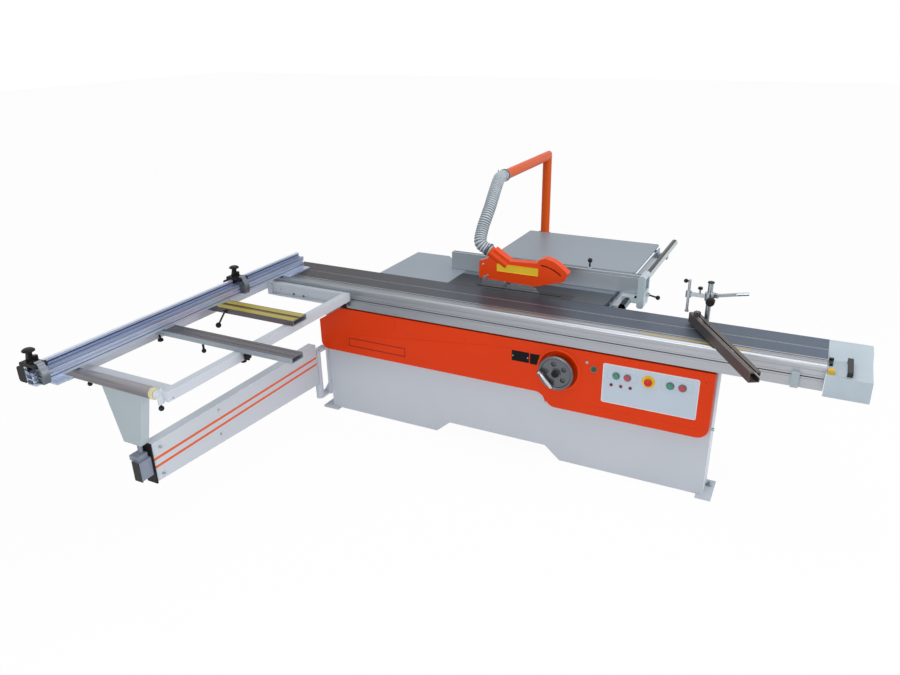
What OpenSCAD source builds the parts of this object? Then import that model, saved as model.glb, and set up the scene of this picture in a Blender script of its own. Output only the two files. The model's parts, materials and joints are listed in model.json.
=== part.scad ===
// Sliding table saw with outrigger frame, crosscut fence and swing arm.
// X runs along the sliding carriage, Y away from the operator's side, Z up from the floor. Millimetres.

/* [Carriage] */
// length of the sliding carriage
carriage_l = 3200; // [2800:20:3600]
// width of the carriage across its travel
carriage_w = 336; // [326:2:350]
// height of every table top over the floor
table_h = 880; // [860:5:900]
// where the middle of the carriage stands along the base
carriage_rest = 45; // [0:5:100]

/* [Base] */
// length of the cabinet under the carriage
base_l = 2368; // [2280:8:2480]
// depth of that cabinet
base_d = 150; // [140:2:160]
// how far the front cover stands out of the cabinet
cover_d = 40; // [30:1:48]
// depth of the saw cabinet behind it
cabinet_d = 750; // [700:10:800]
// how far the swing arm's pivot stands left of the cabinet
pivot_out = 38; // [34:1:44]

/* [Tables] */
// gap between carriage and cast table
table_gap = 4; // [3:0.5:6]
// length of the cast table along the blade
table_l = 977; // [940:1:1010]
// depth of the cast table across the blade
table_d = 660; // [620:10:700]
// depth of the sheet extension behind it
rear_d = 700; // [600:10:800]
// radius of the rip fence's round bar
bar_r = 23; // [20:0.5:24]

/* [Saw unit] */
// radius of the main saw blade
blade_r = 150; // [140:1:152]
// thickness of the saw blade
blade_t = 3.2; // [2.6:0.2:4]
// how far the blade's middle lies under the table top
blade_drop = 90; // [86:1:96]
// radius of the scoring blade
scoring_r = 60; // [50:1:60]
// radius of the handwheel's rim
wheel_r = 100; // [85:1:105]

/* [Fences] */
// width of the crosscut fence profile
fence_w = 55; // [48:1:60]
// height of the crosscut fence profile
fence_h = 64; // [56:1:72]
// length of the crosscut fence
fence_l = 1945; // [1800:5:2050]
// height of the rip fence profile
rip_h = 112; // [100:1:120]
// length of the mitre fence
mitre_l = 725; // [650:5:760]

/* [Outrigger] */
// how far the frame reaches out of the carriage
frame_reach = 1451; // [1411:5:1491]
// inside width of the frame along the carriage
frame_w = 577; // [540:1:600]
// height of the frame's side bars
bar_h = 50; // [44:1:56]
// radius of the frame's outer roller
roller_r = 28; // [24:0.5:29]
// width of the swing arm across
arm_w = 55; // [50:1:60]
// height of the telescopic tube
tube_h = 100; // [90:2:110]

/* [Dust duct] */
// outside radius of the duct pipe
pipe_r = 32.5; // [28:0.5:34]
// outside radius of the ribbed hose
hose_r = 38; // [36:0.5:40]

/* [Hidden] */
$fn = 64;
sheet = 3;
seat = 0.3;
run = 0.05;
cap_l = 192;
bar_over = 200;

// carriage and its guide
c0 = -39;
c1 = c0 + carriage_w;
car_x0 = carriage_rest - carriage_l / 2;
car_x1 = carriage_rest + carriage_l / 2;
base_top = table_h - 140;
skirt_z = table_h - 130;
roof_z = table_h - 42;
inner_skirt = 158;
slot_y = c0 + 67;
guide_y = [45, 125];
guide_r = 8;
lower_rod_z = table_h - 90;
upper_rod_z = table_h - 46;
cage_rollers_r = (upper_rod_z - lower_rod_z) / 2 - guide_r - run;
cage_z = (upper_rod_z + lower_rod_z) / 2;
cage_half = 370;
latch_at = [car_x1 + 17, 88];
latch_z = table_h - 25;

// base
base_x0 = -base_l / 2;
base_x1 = base_l / 2;
plate_t = 12;
cab_x0 = -450;
cab_x1 = 480;
anchor_x = [base_x0 - 18, base_x1 + 19];
cab_y1 = base_d + cabinet_d;
face_y = -cover_d;

// tables
tab_x0 = -470;
tab_x1 = tab_x0 + table_l;
tab_y0 = c1 + table_gap;
tab_y1 = tab_y0 + table_d;
rear_y1 = tab_y1 + rear_d;
cast_t = 40;
under_z = table_h - cast_t;
insert_x0 = -330;
insert_x1 = 315;
insert_w = 83;
insert_t = 6;
bar_x = tab_x1 + 80;
bar_z = table_h - 30;

// saw unit, laid out from the tilt axis in the table top
blade_y = tab_y0 + 40;
blade_z = table_h - blade_drop;
lift_travel = 60;
arc_in = 200;
arc_out = 232;
motor_x = -170;
motor_z = blade_z - 150;
pulley_y = blade_y + 240;
score_x = blade_r + scoring_r + 3;
score_z = table_h - scoring_r - 3;
hood_half = 27;
hood_bolt = [-225, 69];
outlet_r = 33;
outlet_end = [-200, 220];
outlet_turn = 122;

// handwheel and controls, on the cover
wheel_x = 369;
wheel_z = base_top - 140;
wheel_y = face_y - 40;
crank_at = [283, wheel_z - 3];
crank_end = [352, wheel_z - 80];
row_z = base_top - 108;
lamp_z = base_top - 164;
panel_face = face_y + 1;
// each entry holds a button's x and its radius
start_at = [566, 13];
green_a_at = [687, 15];
red_a_at = [746, 15];
green_b_at = [965, 16];
red_b_at = [1026, 16];
estop_at = [855, 20];
lamps_x = [664, 715, 765];

// outrigger frame, over the swing arm's pivot
arm_x = base_x0 - pivot_out;
arm_y = -85;
frame_cx = arm_x - 71;
fr0 = frame_cx - frame_w / 2;
fr1 = frame_cx + frame_w / 2;
side_t = 40;
fr_z1 = table_h - 30;
fr_z0 = fr_z1 - bar_h;
fr_y0 = c0 - frame_reach;
channel_y = fr_y0 + 1;
roller_y = fr_y0 - 32;
roller_z = table_h - roller_r;
mid_y = [fr_y0 + 479, fr_y0 + 566];
stripe_y = [fr_y0 + 870, fr_y0 + 988];
strip_w = 40;
strips = [stripe_y[0] + 5, stripe_y[1] - 5 - strip_w];
leg_x = arm_x - 48;
leg_y = channel_y;
leg_z0 = 505;

// swing arm
arm_y0 = fr_y0 + 41;
arm_y1 = arm_y - 39;
arm_top = 498;
arm_low_out = 289;
arm_low_in = 224;
tube_z0 = 335;
tube_z1 = tube_z0 + tube_h;
tube_y0 = arm_y0 - 76;
tube_l = 965;
tube_half = arm_w / 2 - 4 - seat;
lug_z = [107, 440];
hinge_bolt_y = [40, 90];
hinge_bolt_z = [160, 380];

// crosscut fence
fx = frame_cx - 212;
fence_y1 = 196;
fence_y0 = fence_y1 - fence_l;
fence_z0 = table_h + 8;
fence_z1 = fence_z0 + fence_h;
rail_z = fence_z1 + 24;
stop_near_y = fence_y0 + 31;
stop_far_y = -400;
stop_pin = [fx + fence_w / 2 + 14, rail_z + 8];

// mitre fence and hold-down
mitre_x = car_x1 - 625;
mitre_y = 210;
mitre_turn = -59.6;
mitre_z0 = table_h + 8;
mitre_z1 = mitre_z0 + 52;
column_x = car_x1 - 579;
column_y = 236;
column_r = 13;
arm_z = table_h + 150;
spindle_x = column_x - 104;

// rip fence
rip_y = 564;
rip_t = 34;
rip_z0 = table_h + 1;
rip_x0 = bar_x - 1160;
rip_x1 = bar_x + 52;
head_x = rip_x1 + 2;
head_y = [rip_y - 59, rip_y + 61];
lever_pin = [head_x + 51, table_h + 6];

// duct: corner of the pipe, its open end, and the hose's way down to the hood
pipe_x = -350;
pipe_y = rear_y1 + 35;
pipe_z = 1440;
pipe_end_y = 906;
duct_z = 300;

// the part's origin: middle of its box, on the floor
origin = [(fr0 - side_t + car_x1 + cap_l) / 2, (fence_y0 + rear_y1 + bar_over) / 2, 0];

// Helpers

// colours a piece and moves it from the layout's zero to the part's origin
module paint(name) {
    translate(-origin)
        color(name)
            children();
}

module box(x, y, z) {
    translate([x[0], y[0], z[0]])
        cube([x[1] - x[0], y[1] - y[0], z[1] - z[0]]);
}

module along_x(x0, x1) {
    translate([x0, 0, 0])
        rotate([90, 0, 90])
            linear_extrude(x1 - x0)
                children();
}

module along_y(y0, y1) {
    translate([0, y1, 0])
        rotate([90, 0, 0])
            linear_extrude(y1 - y0)
                children();
}

module along_z(z0, z1) {
    translate([0, 0, z0])
        linear_extrude(z1 - z0)
            children();
}

module rod_x(x0, x1, y, z, r) {
    translate([x0, y, z])
        rotate([0, 90, 0])
            cylinder(r = r, h = x1 - x0);
}

module rod_y(x, y0, y1, z, r) {
    translate([x, y1, z])
        rotate([90, 0, 0])
            cylinder(r = r, h = y1 - y0);
}

module rod_z(x, y, z0, z1, r) {
    translate([x, y, z0])
        cylinder(r = r, h = z1 - z0);
}

// rounded rectangle between two corners
module pad(x0, y0, x1, y1, r) {
    translate([x0 + r, y0])
        square([x1 - x0 - 2 * r, y1 - y0]);
    translate([x0, y0 + r])
        square([x1 - x0, y1 - y0 - 2 * r]);
    for (x = [x0 + r, x1 - r])
        for (y = [y0 + r, y1 - r])
            translate([x, y])
                circle(r);
}

// part of a ring; angles run from straight down towards +Y
module ring_sector(r0, r1, a0, a1) {
    far = 2 * r1;
    intersection() {
        difference() {
            circle(r1);
            circle(r0);
        }
        polygon([[0, 0],
            [far * sin(a0), -far * cos(a0)],
            [far * sin((a0 + a1) / 2), -far * cos((a0 + a1) / 2)],
            [far * sin(a1), -far * cos(a1)]]);
    }
}

// Base

// outline of the front cover, drawn in by i all round
module cover_outline(i) {
    left = base_x0 - 23;
    right = base_x1 - 8;
    top = base_top;
    step_x = 300;
    low = base_top - 293;
    lower = base_top - 370;
    step_r = 60;
    corner = 50;
    difference() {
        union() {
            pad(left + i, low + i, right - i, top + corner, corner - i);
            pad(step_x + i, lower + i, right - i, top - 60, step_r - i);
            difference() {
                translate([step_x - step_r + i, low - step_r + i])
                    square([step_r, step_r]);
                translate([step_x - step_r, low - step_r])
                    circle(step_r + i);
            }
        }
        translate([left - 100, top - i])
            square([right - left + 200, 200]);
        polygon([[left - 10, top - 99 - i], [left + i, top - 99 - i], [left + 160 + i, top - i],
            [left + 160 + i, top + 10], [left - 10, top + 10]]);
    }
}

module rail_cabinet() {
    wall = 4;
    top_t = 8;
    lip = 26;
    paint("WhiteSmoke") {
        difference() {
            box([base_x0, base_x1], [0, base_d], [plate_t, base_top]);
            box([base_x0 + wall, base_x1 - wall], [wall, base_d + 1], [plate_t - 1, base_top - top_t]);
            along_y(-1, wall + 1)
                polygon([[-422, 0], [401, 0], [296, 90], [-319, 90]]);
            rod_y(wheel_x, -1, wall + 1, wheel_z, 10 + run);
            for (x = [-663, -196, 528, 1130])
                rod_y(x, -1, wall + 1, base_top - 60, 4.3);
            for (y = hinge_bolt_y)
                for (z = hinge_bolt_z)
                    rod_x(base_x0 - 1, base_x0 + wall + 1, y, z, 6.02);
        }
        for (x = [base_x0 + wall, cab_x0, cab_x1 - wall, base_x1 - 2 * wall])
            box([x, x + wall], [wall, base_d], [plate_t, base_top - top_t]);
        for (x = [[base_x0, cab_x0 - 30], [cab_x1 + 30, base_x1]]) {
            box(x, [base_d - wall, base_d], [base_top - lip, base_top]);
            box(x, [base_d - lip, base_d], [plate_t, plate_t + wall]);
        }
        difference() {
            for (x = [[base_x0 - 63, base_x0 + 49], [base_x1 - 34, base_x1 + 47]])
                box(x, [-24, base_d + 16], [0, plate_t]);
            for (x = anchor_x)
                rod_z(x, base_d - 38, -1, plate_t + 1, 9.3);
        }
    }
}

// sheet cabinet stepped down under the carriage, with struts to the extensions and a duct spigot
module saw_cabinet() {
    step_y = tab_y0 + 2;
    strut = 26;
    spigot_r = 60;
    paint("WhiteSmoke")
        difference() {
            union() {
                difference() {
                    along_x(cab_x0, cab_x1)
                        polygon([[base_d, plate_t], [cab_y1, plate_t], [cab_y1, under_z], [step_y, under_z],
                            [step_y, base_top], [base_d, base_top]]);
                    box([cab_x0 + sheet, cab_x1 - sheet], [base_d - 1, cab_y1 - sheet],
                        [plate_t + sheet, under_z + 1]);
                }
                box([cab_x0, cab_x0 + 30], [step_y, cab_y1], [under_z - sheet, under_z]);
                box([cab_x1 - 30, cab_x1], [step_y, cab_y1], [under_z - sheet, under_z]);
                box([cab_x0, cab_x1], [cab_y1 - 30, cab_y1], [under_z - sheet, under_z]);
                for (x = [[cab_x0 - 20, cab_x0 + 60], [cab_x1 - 60, cab_x1 + 20]])
                    for (y = [base_d + 60, cab_y1 - 70])
                        box(x, [y, y + 100], [0, plate_t]);
                along_y(480, 480 + strut)
                    polygon([[cab_x0, 560], [cab_x0, 600], [cab_x0 - 320, table_h - 35],
                        [cab_x0 - 370, table_h - 35]]);
                for (x = [cab_x0 + 70, cab_x1 - 70 - strut])
                    along_x(x, x + strut)
                        polygon([[cab_y1, 560], [cab_y1, 600], [rear_y1 - 200, fr_z1],
                            [rear_y1 - 150, fr_z1]]);
                rod_y(60, cab_y1 - sheet, cab_y1 + 62, 250, spigot_r);
            }
            rod_y(60, cab_y1 - 10, cab_y1 + 70, 250, spigot_r - sheet);
            rod_y(pipe_x, cab_y1 - 10, cab_y1 + 1, duct_z, pipe_r + 0.02);
            for (z = [420:30:600])
                along_y(cab_y1 - 10, cab_y1 + 1)
                    pad(-200, z, -60, z + 12, 5);
        }
}

// button heads of the cover, nuts of the floor anchors, the hinge pin
module base_bolts() {
    paint("Silver") {
        for (x = [-663, -196, 528, 1130]) {
            rod_y(x, face_y - 4, face_y, base_top - 60, 8);
            rod_y(x, face_y - 0.1, 3, base_top - 60, 4);
        }
        for (x = anchor_x)
            translate([x, base_d - 38, 0]) {
                cylinder(r = 9, h = 40);
                translate([0, 0, plate_t])
                    cylinder(r = 16, h = 3);
                translate([0, 0, plate_t + 3])
                    cylinder(r = 14, h = 12, $fn = 6);
            }
        rod_z(arm_x, arm_y, lug_z[0] - 6, lug_z[1] + 6, 12);
        rod_z(arm_x, arm_y, lug_z[1], lug_z[1] + 8, 18);
        for (y = hinge_bolt_y)
            for (z = hinge_bolt_z) {
                rod_x(base_x0 - 21, base_x0 - 15, y, z, 10);
                rod_x(base_x0 - 15, base_x0 + 3.9, y, z, 6);
            }
        rod_x(base_x1, base_x1 + 12, 36, 395, 9);
    }
}

module front_cover() {
    window = [[614, base_top - 274], [1107, base_top - 46]];
    paint("OrangeRed")
        difference() {
            union() {
                difference() {
                    along_y(face_y, 0)
                        cover_outline(0);
                    along_y(face_y + sheet, 1)
                        cover_outline(sheet);
                    rod_y(wheel_x, face_y - 1, face_y + 5, wheel_z, wheel_r + 11.5);
                }
                translate([wheel_x, face_y, wheel_z])
                    rotate([-90, 0, 0])
                        rotate_extrude()
                            polygon([[wheel_r + 13, 0], [wheel_r + 13, sheet], [wheel_r + 2, cover_d - 14],
                                [12, cover_d - 14], [12, cover_d - 17], [wheel_r - 1, cover_d - 17],
                                [wheel_r + 10, 0]]);
            }
            along_y(face_y - 1, face_y + 5)
                pad(window[0][0], window[0][1], window[1][0], window[1][1], 10);
            along_y(face_y - 1, face_y + 1.2)
                pad(-1000, base_top - 247, -590, base_top - 186, 4);
            rod_y(start_at[0], face_y - 1, face_y + 5, row_z + 15, 8 + run);
            for (x = [-663, -196, 528, 1130])
                rod_y(x, face_y - 1, face_y + 5, base_top - 60, 4.3);
            swage([-1006, base_top - 169], [-418, base_top - 105]);
            swage([-418, base_top - 105], [99, base_top - 57]);
            swage([540, base_top - 314], [1127, base_top - 322]);
        }
}

// pressed line on the cover between two points of its face
module swage(a, b) {
    over = 3;
    translate([a[0], face_y, a[1]])
        rotate([0, -atan2(b[1] - a[1], b[0] - a[0]), 0])
            rotate([45, 0, 0])
                translate([-over, -1, -1])
                    cube([norm(b - a) + 2 * over, 2, 2]);
}

// printed panel behind its window and the two small plates beside the wheel, all bare
module control_panel() {
    x = [614, 1107];
    z = [base_top - 274, base_top - 46];
    paint("Gainsboro")
        difference() {
            union() {
                along_y(face_y + sheet, face_y + sheet + 3)
                    pad(x[0] - 8, z[0] - 8, x[1] + 8, z[1] + 8, 14);
                along_y(panel_face, face_y + sheet + 0.1)
                    pad(x[0] + seat, z[0] + seat, x[1] - seat, z[1] - seat, 10);
            }
            for (b = [green_a_at, red_a_at, green_b_at, red_b_at])
                rod_y(b[0], face_y - 1, face_y + 10, row_z, 8 + run);
            rod_y(estop_at[0], face_y - 1, face_y + 10, row_z, 10 + run);
            for (lx = lamps_x)
                rod_y(lx, face_y - 1, face_y + 10, lamp_z, 6 + run);
        }
    paint("Black") {
        along_y(face_y - 1.5, face_y)
            polygon([[98, base_top - 129], [200, base_top - 129], [200, base_top - 68], [98, base_top - 68]]);
        along_y(face_y - 1.5, face_y)
            polygon([[206, base_top - 131], [246, base_top - 131], [262, base_top - 69],
                [206, base_top - 69]]);
    }
}

module bezel(x, z, y, r_in, r_out) {
    translate([x, y, z])
        rotate([90, 0, 0])
            difference() {
                cylinder(r = r_out, h = 4);
                translate([0, 0, -1])
                    cylinder(r = r_in, h = 6);
            }
}

// rings round the buttons, the three lamps and the yellow emergency ring
module panel_trim() {
    paint("DimGray") {
        bezel(start_at[0], row_z + 15, face_y, start_at[1] + 0.5, start_at[1] + 6);
        for (b = [green_a_at, red_a_at, green_b_at, red_b_at])
            bezel(b[0], row_z, panel_face, b[1] + 0.5, b[1] + 5);
    }
    paint("DarkRed")
        for (lx = lamps_x) {
            rod_y(lx, panel_face - 4, panel_face, lamp_z, 8.5);
            rod_y(lx, panel_face - 0.1, panel_face + 14, lamp_z, 6);
        }
    paint("Yellow")
        bezel(estop_at[0], row_z, panel_face, 12, 34);
}

// aluminium beam with two hardened rods let into its top
module rail_beam() {
    y = [22, 148];
    web = 6;
    top = lower_rod_z - 2;
    paint("Silver")
        difference() {
            along_x(base_x0 + 10, base_x1 - 10)
                difference() {
                    union() {
                        translate([y[0], base_top])
                            square([y[1] - y[0], top - base_top]);
                        for (g = guide_y)
                            translate([g, lower_rod_z])
                                circle(guide_r);
                    }
                    for (k = [0:2])
                        translate([y[0] + web + k * 40, base_top + web])
                            square([34, top - base_top - 2 * web - 4]);
                }
        }
}

module main_table() {
    rim = 12;
    skin = 12;
    rib = 8;
    slot_x = [-300, 285];
    slot_y = tab_y0 + insert_w + 1;
    paint("DarkGray") {
        difference() {
            union() {
                difference() {
                    box([tab_x0, tab_x1], [tab_y0, tab_y1], [under_z, table_h]);
                    box([tab_x0 + rim, tab_x1 - rim], [tab_y0 + rim, tab_y1 - rim],
                        [under_z - 1, table_h - skin]);
                }
                for (y = [slot_y, tab_y0 + 270, tab_y0 + 450])
                    box([tab_x0 + 1, tab_x1 - 1], [y, y + rib], [under_z, table_h - 1]);
                for (x = [slot_x[0] - rib, slot_x[1], 0])
                    box([x, x + rib], [tab_y0 + (x == 0 ? insert_w + 1 : 1), tab_y1 - 1],
                        [under_z, table_h - 1]);
            }
            box(slot_x, [tab_y0 - 1, slot_y], [under_z - 1, table_h + 1]);
            box([insert_x0, insert_x1], [tab_y0 - 1, slot_y], [table_h - insert_t, table_h + 1]);
            for (x = [insert_x0 + 15, insert_x1 - 17])
                rod_z(x, tab_y0 + 60, under_z - 1, table_h, 3.3);
        }
        for (x = [-334, 318])
            along_x(x, x + 16)
                trunnion_seat();
    }
}

// cast lug under the table with the hollow arc that the tilting frame runs on
module trunnion_seat() {
    difference() {
        translate([blade_y + 60, table_h - 270])
            square([240, 271 - cast_t]);
        translate([blade_y, table_h])
            circle(arc_out);
    }
}

module table_insert() {
    paint("Silver")
        difference() {
            union() {
                box([insert_x0 + seat, insert_x1 - seat], [tab_y0, tab_y0 + insert_w],
                    [table_h - insert_t, table_h - 0.2]);
                for (x = [insert_x0 + 15, insert_x1 - 17])
                    rod_z(x, tab_y0 + 60, table_h - insert_t - 10, table_h - insert_t + 1, 3);
            }
            box([-150, score_x + 30], [blade_y - 9, blade_y + 4], [table_h - 10, table_h + 1]);
            box([-292, -149], [blade_y - 9, blade_y + 4], [table_h - 10, table_h + 1]);
        }
}

module left_extension() {
    t = 35;
    rim = 8;
    outer = [[-958, tab_y0], [-958, tab_y0 + 505], [-713, tab_y0 + 506], [tab_x0, tab_y0 + 266],
        [tab_x0, tab_y0]];
    inner = [[-950, tab_y0 + rim], [-950, tab_y0 + 497], [-716, tab_y0 + 498], [tab_x0 - rim, tab_y0 + 260],
        [tab_x0 - rim, tab_y0 + rim]];
    paint("LightGray")
        difference() {
            along_z(table_h - t, table_h)
                polygon(outer);
            along_z(table_h - t - 1, table_h - 10)
                difference() {
                    polygon(inner);
                    translate([-840, 0])
                        square([60, 2000]);
                }
        }
}

module rear_extension() {
    x0 = tab_x0 + 17;
    t = 30;
    paint("LightGray") {
        difference() {
            box([x0, tab_x1], [tab_y1, rear_y1], [table_h - t, table_h]);
            for (x = [[x0 + sheet, cab_x0 + 66], [cab_x0 + 100, cab_x1 - 100], [cab_x1 - 66, tab_x1 - sheet]])
                box(x, [tab_y1 + sheet, rear_y1 - sheet], [table_h - t - 1, table_h - sheet]);
        }
        rod_y(tab_x1, tab_y1, rear_y1, table_h - 10, 10);
    }
}

module guide_bar() {
    paint("Gainsboro")
        difference() {
            rod_y(bar_x, tab_y0 + 90, rear_y1 + bar_over, bar_z, bar_r);
            rod_y(bar_x, tab_y0 + 60, rear_y1 + bar_over + 30, bar_z, bar_r - 5);
        }
}

// flat rail along the table's edge with the arms that carry the round bar
module edge_rail() {
    x = [tab_x1 + 13, tab_x1 + 21];
    paint("DimGray") {
        box(x, [tab_y0 + 30, rear_y1 - 5], [table_h - 78, table_h - 24]);
        for (y = [tab_y0 + 100, tab_y0 + 400, tab_y0 + 620])
            box([tab_x1, x[0] + 1], [y, y + 40], [under_z, table_h - 24]);
        box([tab_x1 - 20, x[0] + 1], [rear_y1 - 80, rear_y1 - 40], [table_h - 40, fr_z1]);
        for (y = [tab_y0 + 100, tab_y0 + 620, rear_y1 - 90])
            difference() {
                box([x[1] - 1, bar_x + 12], [y, y + 40], [table_h - 78, bar_z - 14]);
                rod_y(bar_x, y - 1, y + 41, bar_z, bar_r + 0.02);
            }
    }
}

// two lugs on a plate at the cabinet's left end; the swing arm's knuckle turns between them
module hinge_bracket() {
    lug_t = 15;
    plate_x = [base_x0 - 15, base_x0];
    paint("WhiteSmoke")
        difference() {
            union() {
                box(plate_x, [-20, 120], [lug_z[0], lug_z[1]]);
                for (z = [lug_z[0], lug_z[1] - lug_t])
                    along_z(z, z + lug_t) {
                        translate([arm_x, arm_y])
                            circle(24);
                        translate([arm_x - 24, arm_y])
                            square([48, 10 - arm_y]);
                    }
                along_y(-8, 6)
                    polygon([[base_x0 - 15, lug_z[0] + lug_t], [base_x0 - 15, lug_z[0] + 90],
                        [arm_x - 20, lug_z[0] + lug_t]]);
            }
            rod_z(arm_x, arm_y, 0, arm_top, 12 + 0.02);
            for (y = hinge_bolt_y)
                for (z = hinge_bolt_z)
                    rod_x(base_x0 - 40, base_x0 + 1, y, z, 6 + 0.02);
        }
}

// round bar from the cabinet up behind the table and forward again, mitred at both corners
module mitred(r) {
    w = 2 * r;
    top = [[pipe_y - w, pipe_z - w], [pipe_y + w, pipe_z + w]];
    low = [[pipe_y + w, duct_z - w], [pipe_y - w, duct_z + w]];
    cut_to(concat(top, low), w)
        rod_z(pipe_x, pipe_y, duct_z - w, pipe_z + w, r);
    cut_to(concat(top, [[pipe_end_y, pipe_z + w], [pipe_end_y, pipe_z - w]]), w)
        rod_y(pipe_x, pipe_end_y, pipe_y + w, pipe_z, r);
    cut_to(concat(low, [[cab_y1 - sheet, duct_z + w], [cab_y1 - sheet, duct_z - w]]), w)
        rod_y(pipe_x, cab_y1 - sheet, pipe_y + w, duct_z, r);
}

// what of its children lies inside an outline seen along X
module cut_to(outline, w) {
    intersection() {
        along_x(pipe_x - w, pipe_x + w)
            polygon(outline);
        children();
    }
}

module dust_pipe() {
    wall = 2.5;
    paint("OrangeRed") {
        difference() {
            mitred(pipe_r);
            mitred(pipe_r - wall);
        }
        difference() {
            box([pipe_x - 45, pipe_x + 45], [rear_y1, pipe_y], [table_h - 30, table_h - 4]);
            rod_z(pipe_x, pipe_y, table_h - 40, table_h, pipe_r - 1);
        }
    }
}

// Dust hose: ribs of two rings along a way through points chosen by hand

outlet_dir = [-sin(outlet_turn), 0, -cos(outlet_turn)];
hose_start = [outlet_end[0], blade_y, table_h + outlet_end[1]] + seat * outlet_dir;
hose_way = [
    hose_start,
    hose_start + 78 * outlet_dir,
    [-283, 398, 1208],
    [-281, 448, 1268],
    [-282, 505, 1320],
    [-289, 565, 1367],
    [-302, 632, 1403],
    [-318, 703, 1430],
    [-336, 770, 1441],
    [pipe_x, pipe_end_y - 78, pipe_z],
    [pipe_x, pipe_end_y, pipe_z]];
hose_ribs = 84;
hose_sides = 8;
hose_wall = 3;
rib_depth = 3;

// point on a smooth curve through the way's points; s runs from 0 to 1
function way(s) =
    let (n = len(hose_way) - 1, k = min(floor(s * n), n - 1), t = s * n - k,
        p1 = hose_way[k], p2 = hose_way[k + 1],
        p0 = k > 0 ? hose_way[k - 1] : 2 * p1 - p2,
        p3 = k < n - 1 ? hose_way[k + 2] : 2 * p2 - p1)
    0.5 * (2 * p1 + t * (p2 - p0) + t * t * (2 * p0 - 5 * p1 + 4 * p2 - p3)
        + t * t * t * (3 * p1 - p0 - 3 * p2 + p3));
function unit(v) = v / norm(v);
function heading(s) =
    s < 0.001 ? unit(outlet_dir) : s > 0.999 ? [0, 1, 0]
        : unit(way(min(s + 0.004, 1)) - way(max(s - 0.004, 0)));
function across(d) = unit(cross(d, [1, 0.001, 0]));
function hose_ring(s, r) =
    let (c = way(s), d = heading(s), u = across(d), v = cross(d, u))
    [for (a = [0:hose_sides - 1]) c + r * (cos(360 * a / hose_sides) * u + sin(360 * a / hose_sides) * v)];
hose_rings = 2 * hose_ribs + 1;
outer_rings = [for (i = [0:hose_rings - 1])
    hose_ring(i / (hose_rings - 1), hose_r - (i % 2 == 0 ? rib_depth : 0))];
bore_count = 42;
bore_rings = [for (i = [bore_count:-1:0]) hose_ring(i / bore_count, hose_r - rib_depth - hose_wall)];
hose_points = [for (ring = concat(outer_rings, bore_rings)) for (p = ring) p];
ring_count = hose_rings + bore_count + 1;
hose_faces = [for (i = [0:ring_count - 1], a = [0:hose_sides - 1])
    let (b = (a + 1) % hose_sides, j = (i + 1) % ring_count)
    each [[i * hose_sides + a, j * hose_sides + b, i * hose_sides + b],
        [i * hose_sides + a, j * hose_sides + a, j * hose_sides + b]]];

// the hose's least gap to itself: rings more than two hose widths apart along it
hose_marks = [for (k = [0:40]) way(k / 40)];
hose_gap = min([for (a = [0:40]) for (b = [a + 8:1:40]) norm(hose_marks[a] - hose_marks[b])]) - 2 * hose_r;
echo(least_gap_of_the_hose_to_itself_mm = hose_gap);

module dust_hose() {
    paint("LightGray")
        polyhedron(points = hose_points, faces = hose_faces, convexity = 8);
}

// Controls

module handwheel() {
    rim_r = 9;
    holes = 5;
    lie = atan2(crank_end[1] - crank_at[1], crank_end[0] - crank_at[0]);
    paint("DimGray") {
        difference() {
            translate([wheel_x, wheel_y, wheel_z])
                rotate([90, 0, 0])
                    rotate_extrude() {
                        translate([wheel_r - rim_r, 0])
                            circle(rim_r);
                        translate([0, -8])
                            square([wheel_r - rim_r, 8]);
                        translate([0, -22])
                            square([26, 30]);
                    }
            for (k = [0:holes - 1])
                translate([wheel_x, wheel_y, wheel_z])
                    rotate([0, k * 360 / holes + 40, 0])
                        rod_y(54, -20, 20, 0, 15);
        }
        along_y(wheel_y - 18, wheel_y - 7)
            pad(wheel_x - 17, wheel_z - 17, wheel_x + 17, wheel_z + 17, 3);
        rod_y(wheel_x, wheel_y + 20, 7, wheel_z, 10);
        translate([crank_at[0], wheel_y - 19, crank_at[1]])
            rotate([0, -lie, 0]) {
                for (v = [-14, 9.6])
                    box([-8, 8], [-8, 19], [v, v + 4.4]);
                rod_z(0, 0, -12, 12, 4);
            }
    }
}

// folded across the wheel; turns out on the pin of its fork
module crank_handle() {
    lie = atan2(crank_end[1] - crank_at[1], crank_end[0] - crank_at[0]);
    reach = norm(crank_end - crank_at);
    paint("Black")
        translate([crank_at[0], wheel_y - 19, crank_at[1]])
            rotate([0, -lie, 0])
                difference() {
                    union() {
                        rod_z(0, 0, -9, 9, 8);
                        rotate([0, 90, 0])
                            rotate_extrude()
                                polygon([[0, 0], [6, 0], [6, 14], [9, 30], [10, 60], [9, reach], [5, reach + 6],
                                    [0, reach + 6]]);
                    }
                    rod_z(0, 0, -20, 20, 4 + run);
                }
}

module push_button(x, z, y, r) {
    rod_y(x, y - 10, y - 5, z, r);
    rod_y(x, y - 5.1, y + 16, z, 8);
}

module start_button() {
    paint("Green")
        push_button(start_at[0], row_z + 15, face_y, start_at[1]);
}

module button_green_a() {
    paint("Green")
        push_button(green_a_at[0], row_z, panel_face, green_a_at[1]);
}

module button_red_a() {
    paint("Red")
        push_button(red_a_at[0], row_z, panel_face, red_a_at[1]);
}

module button_green_b() {
    paint("Green")
        push_button(green_b_at[0], row_z, panel_face, green_b_at[1]);
}

module button_red_b() {
    paint("Red")
        push_button(red_b_at[0], row_z, panel_face, red_b_at[1]);
}

module estop_mushroom() {
    paint("Red")
        translate([estop_at[0], panel_face, row_z])
            rotate([90, 0, 0])
                rotate_extrude()
                    polygon([[0, -16], [10, -16], [10, 9.5], [18, 9.5], [20, 12], [20, 17], [16, 22], [9, 25],
                        [0, 26]]);
}

// Saw unit

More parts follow.
